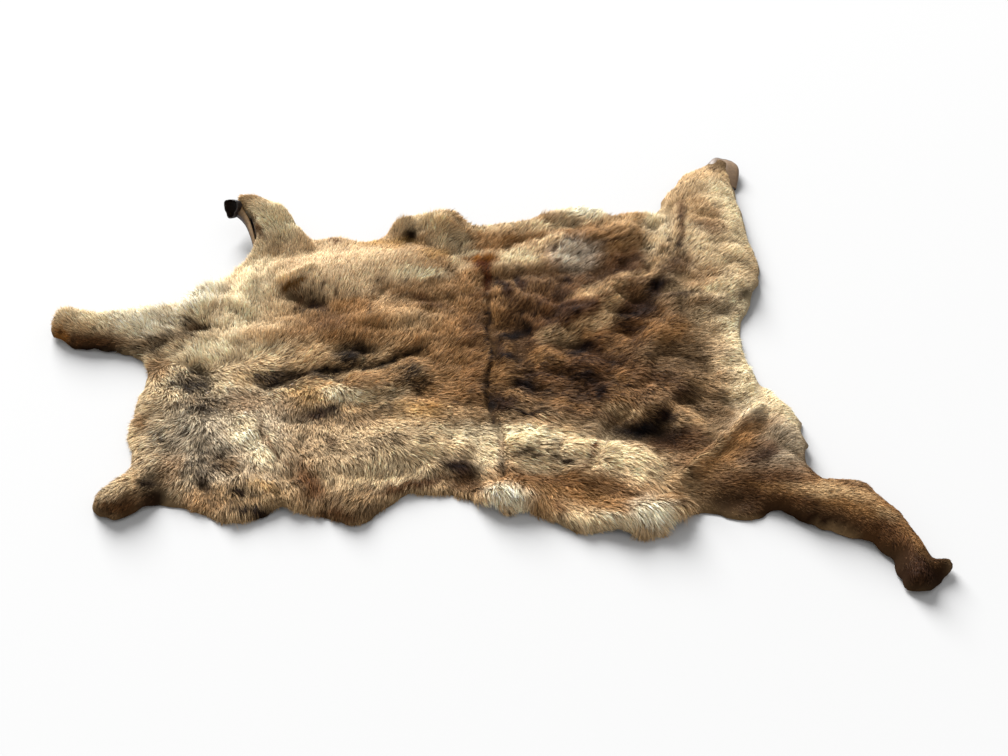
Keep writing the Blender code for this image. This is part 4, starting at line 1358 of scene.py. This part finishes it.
def stance(x, y, tuft, turn, rise, long):
    """Root, halfway point and tip, then the lie, the way the coat faces there and the lock."""
    lock = nearest(lock_x, lock_y, LOCK, tuft_x.ravel()[tuft], tuft_y.ravel()[tuft])
    lie = read(lie_map, x, y)
    ruffle = read(ruffle_map, x, y)
    heading = np.arctan2(lie[:, 1], lie[:, 0])
    heading += ruffle * (lock_turn[lock] + tuft_turn[tuft] + turn)
    slope_x, slope_y = read(coat_slope[0], x, y), read(coat_slope[1], x, y)
    facing = np.stack([-slope_x, -slope_y, np.ones(len(x))], 1)
    facing /= np.linalg.norm(facing, axis=1, keepdims=True)
    level = np.stack([np.cos(heading), np.sin(heading), np.zeros(len(x))], 1)
    forward = level - facing * (level * facing).sum(1, keepdims=True)
    forward /= np.linalg.norm(forward, axis=1, keepdims=True)
    length = read(length_map, x, y) * lock_long[lock] * tuft_long[tuft] * long
    rim = np.exp(-np.clip(read(edge_depth, x, y), 0.0, None) / RIM_LEAN)
    first = RISE * (0.6 + 0.4 * ruffle) + ruffle * (tuft_rise[tuft] + rise) - 0.55 * rim
    second = LIE_DOWN * ruffle + ruffle * (0.5 * tuft_rise[tuft] + 0.6 * rise) - 0.35 * rim
    root = np.stack([x, y, read(coat_map, x, y)], 1) - ROOT_DEPTH * facing
    middle = root + (0.45 * length * np.cos(first))[:, None] * forward
    middle += (0.45 * length * np.sin(first))[:, None] * facing
    tip = middle + (0.55 * length * np.cos(second))[:, None] * forward
    tip += (0.55 * length * np.sin(second))[:, None] * facing
    return root, middle, tip, forward, facing, lock


def grow(count, seed, depth_from, long, wide, loose):
    """Hairs of one kind: roots strewn evenly over the coat, each drawn towards its tuft's tip."""
    rng = np.random.default_rng(seed)
    steep = np.hypot(1.0, np.hypot(*coat_slope))
    chance = np.where(edge_depth > depth_from, steep, 0.0)
    chance *= 1.0 + 0.5 * np.exp(-np.clip(edge_depth, 0.0, None) / 0.015)
    total = np.cumsum(chance.ravel())
    draws = (np.arange(count) + rng.uniform(0.0, 1.0, count)) / count * total[-1]
    knot = np.searchsorted(total, draws)
    x = knots_x.ravel()[knot] + rng.uniform(-0.5, 0.5, count) * KNOT
    y = knots_y.ravel()[knot] + rng.uniform(-0.5, 0.5, count) * KNOT
    tuft = nearest(tuft_x, tuft_y, TUFT, x, y)
    wander = rng.normal(0.0, loose, count)
    rise = rng.normal(0.0, 0.16, count)
    length = long * np.clip(rng.normal(1.0, 0.14, count), 0.6, 1.5)
    root, middle, tip, forward, facing, lock = stance(x, y, tuft, wander, rise, length)
    centre_x, centre_y = tuft_x.ravel()[tuft], tuft_y.ravel()[tuft]
    still = np.zeros(count)
    _, tuft_middle, tuft_tip, _, _, _ = stance(centre_x, centre_y, tuft, still, still, still + long)
    pull = tuft_pull[tuft] * rng.uniform(0.3, 1.0, count) * (0.5 + 0.5 * read(ruffle_map, x, y))
    pull = np.clip(pull, 0.0, 0.95)[:, None]
    off = root - np.stack([centre_x, centre_y, read(coat_map, centre_x, centre_y)], 1)
    tip += pull * (tuft_tip + 0.25 * off - tip)
    middle += 0.3 * pull * (tuft_middle + 0.6 * off - middle)
    for points in (middle, tip):
        points[:, 2] = np.maximum(points[:, 2], LOWEST)
    side = np.cross(forward, facing)
    roll = rng.normal(0.0, 0.45, count)
    side = side * np.cos(roll)[:, None] + facing * np.sin(roll)[:, None]
    half = (wide * rng.uniform(0.8, 1.2, count) / 2)[:, None]
    slimmer = half * TAPER
    left, right = root - side * half, root + side * half
    blades = np.stack([left, right, middle - side * slimmer, middle + side * slimmer, tip], 1)
    return blades, tuft, lock, rng


# %% The colour of each hair
SHOWS = 0.68  # how far along a hair its uncovered part is
PALER = 0.84  # a tip is its colour to this power, so lighter and less strongly coloured
HAIR_TONE = 0.28  # how much lighter or darker one hair is than the next in a ruffled coat
HAIR_WARMTH = 0.035  # and how much redder or bluer
CLUMP_TONE = 1.1  # how strongly grizzled clumps differ from each other
DARK_KEEPS = 0.25  # a dark hair keeps this share of its marking's colour


def deepened(share):
    """How much darker grizzled fur is painted near the roots, for its dark wool and for painted shade
    between its clumps, where this share of it is dark.
    """
    return np.clip(1.4 * share, 0.0, 0.7)[:, None]


def hair_colour(blades, tuft, lock, rng):
    """Root, middle and tip colours: the marking's colour in the hair's own tone, darkened at the root
    and a little halfway by painted shade, as deep in the coat.

    Where the coat is grizzled its roots are darker still, for dark wool and painted shade between
    the clumps, and some hairs are dark to the tip."""
    count = len(blades)
    foot = blades[:, 0, :2]
    reach = blades[:, 4, :2] - foot
    middle = np.stack([tuft_x.ravel()[tuft], tuft_y.ravel()[tuft]], 1)
    at = foot * 0.5 + middle * 0.5 + SHOWS * reach
    colour = read(colour_map, at[:, 0], at[:, 1])
    ruffle = read(ruffle_map, at[:, 0], at[:, 1])
    tone = (0.4 + 0.6 * ruffle) * (lock_tone[lock] + tuft_tone[tuft])
    tone += (0.5 + 0.5 * ruffle) * rng.normal(0.0, HAIR_TONE, count)
    colour = colour * np.exp(tone)[:, None]
    warm = rng.normal(0.0, HAIR_WARMTH, count)
    colour *= 1.0 + warm[:, None] * np.array([1.0, 0.0, -1.0])
    share = read(dark_share_map, at[:, 0], at[:, 1])
    clump = nearest(clump_x, clump_y, CLUMP, middle[:, 0], middle[:, 1])
    colour *= np.exp(CLUMP_TONE * share * clump_tone[clump])[:, None]
    dark = (tuft_draw[tuft] < BY_TUFT * share) | (rng.uniform(0.0, 1.0, count) < BY_HAIR * share)
    colour[dark] = colour[dark] * DARK_KEEPS + PIGMENTS["deep"] * 0.4
    pale = np.clip(1.3 * colour.mean(1, keepdims=True), 0.0, 1.0)
    # Painted shade: roots and halfway points are darker than the hair's own colour, as the coat's depth
    # is.
    root = colour * (0.28 + 0.30 * pale) * (1.0 - deepened(share))
    halfway = colour * (0.83 + 0.10 * pale) * (1.0 - deepened(share))
    tip = np.clip(colour, 0.0, 1.0) ** PALER * (1.12 + 0.15 * rng.uniform(-1.0, 1.0, (count, 1)))
    tip[dark] *= 0.8
    painted = np.stack([root, root, halfway, halfway, tip], 1)
    return np.clip(painted, 0.002, 0.9)


# %% Put one kind of hair into a mesh
MAP_CELLS = 256  # hairs in one row of the chart


def hair_mesh(name, blades, colours):
    """A four-sided face and a three-sided tip for each hair, with its colours and a chart."""
    count = len(blades)
    first = np.arange(count)[:, None] * 5
    corners = (first + np.array([0, 1, 3, 2, 2, 3, 4])).astype(np.int32)
    starts = (np.arange(count)[:, None] * 7 + np.array([0, 4])).astype(np.int32)
    mesh = bpy.data.meshes.new(name)
    mesh.vertices.add(count * 5)
    mesh.vertices.foreach_set("co", blades.astype(np.float32).ravel())
    mesh.loops.add(count * 7)
    mesh.loops.foreach_set("vertex_index", corners.ravel())
    mesh.polygons.add(count * 2)
    mesh.polygons.foreach_set("loop_start", starts.ravel())
    mesh.update(calc_edges=True)
    mesh.shade_smooth()
    paint = mesh.attributes.new("hair_colour", "FLOAT_COLOR", "POINT")
    solid = np.ones((count * 5, 4), np.float32)
    solid[:, :3] = colours.reshape(-1, 3)
    paint.data.foreach_set("color", solid.ravel())
    rows = -(-count // MAP_CELLS)
    cell = np.stack([np.arange(count) % MAP_CELLS, np.arange(count) // MAP_CELLS], 1)
    left, right, root, halfway = 0.15, 0.85, 0.1, 0.5
    four_sided = [(left, root), (right, root), (right, halfway), (left, halfway)]
    three_sided = [(left, halfway), (right, halfway), (0.5, 0.9)]
    within = np.array(four_sided + three_sided)
    spots = (cell[:, None, :] + within) / np.array([MAP_CELLS, rows])
    chart = mesh.uv_layers.new(name="OFBake")
    chart.uv.foreach_set("vector", spots.astype(np.float32).ravel())
    piece = bpy.data.objects.new(name, mesh)
    bpy.context.scene.collection.objects.link(piece)
    return piece


# length is a share of the coat's own, width is in metres and looseness in radians
HAIR_KINDS = table(
    "name count seed from_rim length width looseness",
    [
        ("short_hair", 60000, 31, 0.000, 0.80, 0.0015, 0.18),
        ("coat_hair_first", 60000, 32, 0.001, 1.00, 0.0012, 0.20),
        ("coat_hair_second", 58000, 33, 0.001, 1.05, 0.0011, 0.22),
        ("guard_hair_first", 56000, 34, 0.002, 1.15, 0.0010, 0.26),
        ("guard_hair_second", 56000, 35, 0.002, 1.25, 0.0009, 0.32),
    ],
)
hairs = []
for kind in HAIR_KINDS:
    name, count, seed = str(kind["name"]), int(kind["count"]), int(kind["seed"])
    size = kind["length"], kind["width"], kind["looseness"]
    blades, tuft, lock, rng = grow(count, seed, kind["from_rim"], *size)
    hairs.append(hair_mesh(name, blades, hair_colour(blades, tuft, lock, rng)))
    print(name + ":", count, "hairs,", count * 3, "triangles")

# %% [markdown]
# ## Dried ends
#
# Where the far legs were cut off, the skin dried stiff and rolled up. On the foreleg the edge is
# a scroll, open at its end and painted nearly black inside as the shade in it. On the hind leg a
# short bare end, arched like a gutter, sticks out of the fur. Both are one idea: an open ring
# carried along a path, thick as the skin, with its slot turned the way it has curled. The rim of
# the open end is painted dark as its shade, and the outside is painted lighter where it faces up
# and to the right of the path, as lit, and deep brown where it turns away, as shaded.

# %% A scroll along a path
ALONG = 40  # rings from one end of a scroll to the other
AROUND = 28  # points round a ring


def scroll(name, rows, wall, slot, gap, squash, corners, rim, inside, outside):
    """An open ring swept along the rows' path, its radius given by each row.

    Around the ring the angle runs from slot + gap / 2 to slot + 360 - gap / 2 degrees, where 0 is
    to the right of the path and 90 is up, where the ring's height is squashed. The radius swings
    by the share corners three times round the ring. The wall is closed at its lips and its ends,
    and the last rings, as many as rim says, are painted dark as the shade of the open end. The
    inside takes its colour as painted shade. The outer lips are deep brown, and the outside goes
    from deep brown where it faces away, as shaded, to its own colour where it faces up and right, as
    lit."""
    t = np.linspace(0.0, len(rows) - 1.0, ALONG)
    stations = np.arange(len(rows), dtype=float)
    centre = np.stack([smooth_through(t, stations, rows[axis]) for axis in "xyz"], 1)
    radius = smooth_through(t, stations, rows["radius"])
    forward = np.gradient(centre, axis=0)
    forward /= np.linalg.norm(forward, axis=1, keepdims=True)
    right = np.cross(forward, (0.0, 0.0, 1.0))
    right /= np.linalg.norm(right, axis=1, keepdims=True)
    up = np.cross(right, forward)
    angle = np.radians(np.linspace(slot + gap / 2, slot + 360 - gap / 2, AROUND))
    ring = np.concatenate([angle, angle[::-1]])
    thick = np.concatenate([np.zeros(AROUND), np.full(AROUND, wall)])
    ragged = 1.0 + corners * np.sin(3.0 * ring + 1.0) + 0.04 * np.sin(7.0 * ring)
    reach = radius[:, None] * ragged - thick
    points = centre[:, None] + reach[..., None] * (
        np.cos(ring)[:, None] * right[:, None] + squash * np.sin(ring)[:, None] * up[:, None]
    )
    lips = 2 * AROUND
    i, j = np.meshgrid(np.arange(ALONG - 1), np.arange(lips), indexing="ij")
    after = (j + 1) % lips
    near, far = i * lips, (i + 1) * lips
    faces = np.stack([near + j, near + after, far + after, far + j], -1)
    a = np.arange(AROUND - 1)
    start = np.stack([a, lips - 1 - a, lips - 2 - a, a + 1], -1)
    end = start[:, ::-1] + (ALONG - 1) * lips
    faces = np.concatenate([faces.reshape(-1, 4), start, end])
    piece = make_piece(name, points.reshape(-1, 3), faces)
    paint = piece.data.attributes.new("skin_colour", "FLOAT_COLOR", "POINT")
    colours = np.ones((ALONG, lips, 4), np.float32)
    # Painted light and shade: the outside is its own colour where it faces up and right, towards the
    # light, and deep brown where it faces away.
    painted_lit_share = np.clip(0.3 + 0.5 * np.sin(angle) + 0.5 * np.cos(angle), 0.0, 1.0)[:, None]
    lit_minus_shaded = PIGMENTS[outside] - PIGMENTS["deep"]
    colours[:, :AROUND, :3] = PIGMENTS["deep"] + lit_minus_shaded * painted_lit_share
    # Painted shade: the inside takes the inside colour, and the last rings of the open end are dark.
    colours[:, AROUND:, :3] = PIGMENTS[inside]
    colours[:, [0, AROUND - 1], :3] = PIGMENTS["deep"]
    colours[-rim:, :, :3] = PIGMENTS["dark"]
    paint.data.foreach_set("color", colours.ravel())
    return piece


FORELEG_SCROLL = table(
    "x y z radius",
    [
        (-0.462, 0.290, 0.018, 0.004),
        (-0.471, 0.330, 0.032, 0.009),
        (-0.486, 0.368, 0.044, 0.012),
        (-0.504, 0.394, 0.052, 0.016),
        (-0.516, 0.396, 0.060, 0.020),
        (-0.526, 0.386, 0.068, 0.021),
    ],
)
HIND_BARE_END = table(
    "x y z radius",
    [
        (0.580, 0.560, 0.002, 0.036),
        (0.588, 0.596, 0.012, 0.037),
        (0.594, 0.624, 0.016, 0.034),
        (0.597, 0.652, 0.012, 0.024),
    ],
)
foreleg_scroll = scroll(
    "foreleg_scroll",
    FORELEG_SCROLL,
    wall=0.0016,
    slot=70.0,
    gap=30.0,
    squash=1.0,
    corners=0.14,
    rim=12,
    inside="black",
    outside="tan",
)
hind_end = scroll(
    "hind_end",
    HIND_BARE_END,
    wall=0.0012,
    slot=-90.0,
    gap=170.0,
    squash=0.50,
    corners=0.16,
    rim=3,
    inside="dark",
    outside="grey_brown",
)
scrolls = [foreleg_scroll, hind_end]
print("scrolls:", [len(piece.data.polygons) for piece in scrolls], "faces")

# %% [markdown]
# ## Finishes
#
# Each hair already carries its colour from root to tip. The hair finish reads it, adds a fine
# streak of its own and a little sheen, since reindeer hair is hollow and slightly waxy. The
# wool takes the same markings, duller, and darker as painted shade under the hair, and so does
# the dried skin with its own colours, so one helper makes all three. The skin's underside is pale
# suede.

# %% Hair finish


def new_finish(name):
    """An empty node finish with its shader, and a short way to add and join nodes."""
    material = bpy.data.materials.new(name)
    material.use_nodes = True
    nodes = material.node_tree.nodes
    return material, nodes, material.node_tree.links, nodes["Principled BSDF"]


def painted_finish(name, attribute, scale, detail, fade, dim, bright, roughness, sheen):
    """The painted colour times a strength that goes from dim to bright as a fine noise crosses fade."""
    finish, nodes, links, shader = new_finish(name)
    paint = nodes.new("ShaderNodeAttribute")
    paint.attribute_name = attribute
    place = nodes.new("ShaderNodeTexCoord")
    noise = nodes.new("ShaderNodeTexNoise")
    noise.inputs["Scale"].default_value = scale
    noise.inputs["Detail"].default_value = detail
    links.new(place.outputs["Object"], noise.inputs["Vector"])
    strength = nodes.new("ShaderNodeMapRange")
    strength.inputs["From Min"].default_value = fade[0]
    strength.inputs["From Max"].default_value = fade[1]
    strength.inputs["To Min"].default_value = dim
    strength.inputs["To Max"].default_value = bright
    links.new(noise.outputs["Fac"], strength.inputs["Value"])
    tinted = nodes.new("ShaderNodeVectorMath")
    tinted.operation = "SCALE"
    links.new(paint.outputs["Color"], tinted.inputs[0])
    links.new(strength.outputs["Result"], tinted.inputs["Scale"])
    links.new(tinted.outputs["Vector"], shader.inputs["Base Color"])
    shader.inputs["Roughness"].default_value = roughness
    shader.inputs["Specular IOR Level"].default_value = sheen
    return finish


hair = painted_finish(
    "hair",
    "hair_colour",
    scale=420.0,
    detail=2.0,
    fade=(0.3, 0.7),
    dim=0.82,
    bright=1.15,
    roughness=0.70,
    sheen=0.06,
)
for piece in hairs:
    piece.data.materials.append(hair)
print("hair finish on", len(hairs), "pieces")

# %% Wool finish
WOOL_PAINTED_SHADE = 0.42  # the wool against the hair over it, painted darker as the shade under the hairs
coat_paint = undercoat.data.attributes.new("wool_colour", "FLOAT_COLOR", "POINT")
coat_xy = np.concatenate([coat_points, coat_points])
wool_colours = np.ones((len(coat_xy), 4), np.float32)
# Grizzled fur's wool is darker still, for dark wool and painted shade in the gaps between its clumps.
light = 1.0 - deepened(read(dark_share_map, *coat_xy.T))
wool_colours[:, :3] = read(colour_map, *coat_xy.T) * WOOL_PAINTED_SHADE * light
coat_paint.data.foreach_set("color", wool_colours.ravel())
wool = painted_finish(
    "wool",
    "wool_colour",
    scale=260.0,
    detail=6.0,
    fade=(0.0, 1.0),
    dim=0.55,
    bright=1.35,
    roughness=0.95,
    sheen=0.05,
)
undercoat.data.materials.append(wool)
print("wool finish done")

# %% Suede finish
suede, nodes, links, shader = new_finish("suede")
place = nodes.new("ShaderNodeTexCoord")
mottle = nodes.new("ShaderNodeTexNoise")
mottle.inputs["Scale"].default_value = 9.0
mottle.inputs["Detail"].default_value = 8.0
links.new(place.outputs["Object"], mottle.inputs["Vector"])
shades = nodes.new("ShaderNodeValToRGB")
shades.color_ramp.elements[0].position = 0.3
shades.color_ramp.elements[0].color = (0.42, 0.33, 0.22, 1.0)
shades.color_ramp.elements[1].position = 0.7
shades.color_ramp.elements[1].color = (0.66, 0.58, 0.46, 1.0)
links.new(mottle.outputs["Fac"], shades.inputs["Fac"])
links.new(shades.outputs["Color"], shader.inputs["Base Color"])
nap = nodes.new("ShaderNodeTexNoise")
nap.inputs["Scale"].default_value = 700.0
links.new(place.outputs["Object"], nap.inputs["Vector"])
raised = nodes.new("ShaderNodeBump")
raised.inputs["Strength"].default_value = 0.25
raised.inputs["Distance"].default_value = 0.0005
links.new(nap.outputs["Fac"], raised.inputs["Height"])
links.new(raised.outputs["Normal"], shader.inputs["Normal"])
shader.inputs["Roughness"].default_value = 0.85
skin.data.materials.append(suede)
print("suede finish done")

# %% Dried skin finish
dried = painted_finish(
    "dried_skin",
    "skin_colour",
    scale=180.0,
    detail=6.0,
    fade=(0.0, 1.0),
    dim=0.45,
    bright=1.45,
    roughness=0.55,
    sheen=0.5,
)
for piece in scrolls:
    piece.data.materials.append(dried)
print("dried skin finish on", len(scrolls), "pieces")

# %% [markdown]
# ## Put every piece on one body
#
# The skin stands in for the solid hide, which is hidden, and everything lies on one body that
# never moves.

# %% Riding on one body, and the solid hidden
for piece in [skin, undercoat] + hairs + scrolls:
    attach(piece, "root")
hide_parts("hide")

# %% [markdown]
# ## Ground, light and camera
#
# A plain ground, lit until it is nearly white, and a bright even sky show the markings truly.
# One wide soft sun, low behind the hide, rakes across the folds, so that they shade towards the
# viewer.

# %% Ground
GROUND = -0.0006  # a hair's breadth under the skin, so that the two never share a plane
bpy.ops.mesh.primitive_plane_add(size=60.0, location=(0.0, 0.0, GROUND))
floor = bpy.context.object
floor.name = "floor"
paper, nodes, links, shader = new_finish("paper")
shader.inputs["Base Color"].default_value = (0.452, 0.452, 0.452, 1.0)
shader.inputs["Roughness"].default_value = 0.9
floor.data.materials.append(paper)

# %% Sky and lamp
world = bpy.data.worlds.new("studio")
world.use_nodes = True
sky = world.node_tree.nodes["Background"]
sky.inputs["Color"].default_value = (1.0, 1.0, 1.0, 1.0)
sky.inputs["Strength"].default_value = 0.60
bpy.context.scene.world = world


def soft_sun(name, azimuth, elevation, strength, spread_angle):
    """A sun with a wide disc, so that its shadows are soft, in a direction given in degrees."""
    light = bpy.data.lights.new(name, "SUN")
    light.energy = strength
    light.angle = math.radians(spread_angle)
    holder = bpy.data.objects.new(name, light)
    a, e = math.radians(azimuth), math.radians(elevation)
    towards = Vector((math.cos(a) * math.cos(e), math.sin(a) * math.cos(e), math.sin(e)))
    holder.location = towards * 4.0
    holder.rotation_euler = towards.to_track_quat("Z", "Y").to_euler()
    bpy.context.scene.collection.objects.link(holder)


soft_sun("key", azimuth=112.0, elevation=29.0, strength=9.4, spread_angle=34.0)
bpy.context.scene.view_settings.view_transform = "Standard"

# %% Camera
LENS = 50.0
LOOK_AT = Vector((0.0798, -0.1349, 0.030))
ELEVATION = math.radians(42.0)
DISTANCE = 2.74
camera_data = bpy.data.cameras.new("camera")
camera_data.lens = LENS
camera = bpy.data.objects.new("camera", camera_data)
camera.location = LOOK_AT + DISTANCE * Vector((0.0, -math.cos(ELEVATION), math.sin(ELEVATION)))
camera.rotation_euler = (LOOK_AT - camera.location).to_track_quat("-Z", "Y").to_euler()
bpy.context.scene.collection.objects.link(camera)
bpy.context.scene.camera = camera
print("camera stands at", [round(value, 3) for value in camera.location])

# %% The last line
bpy.context.view_layer.update()
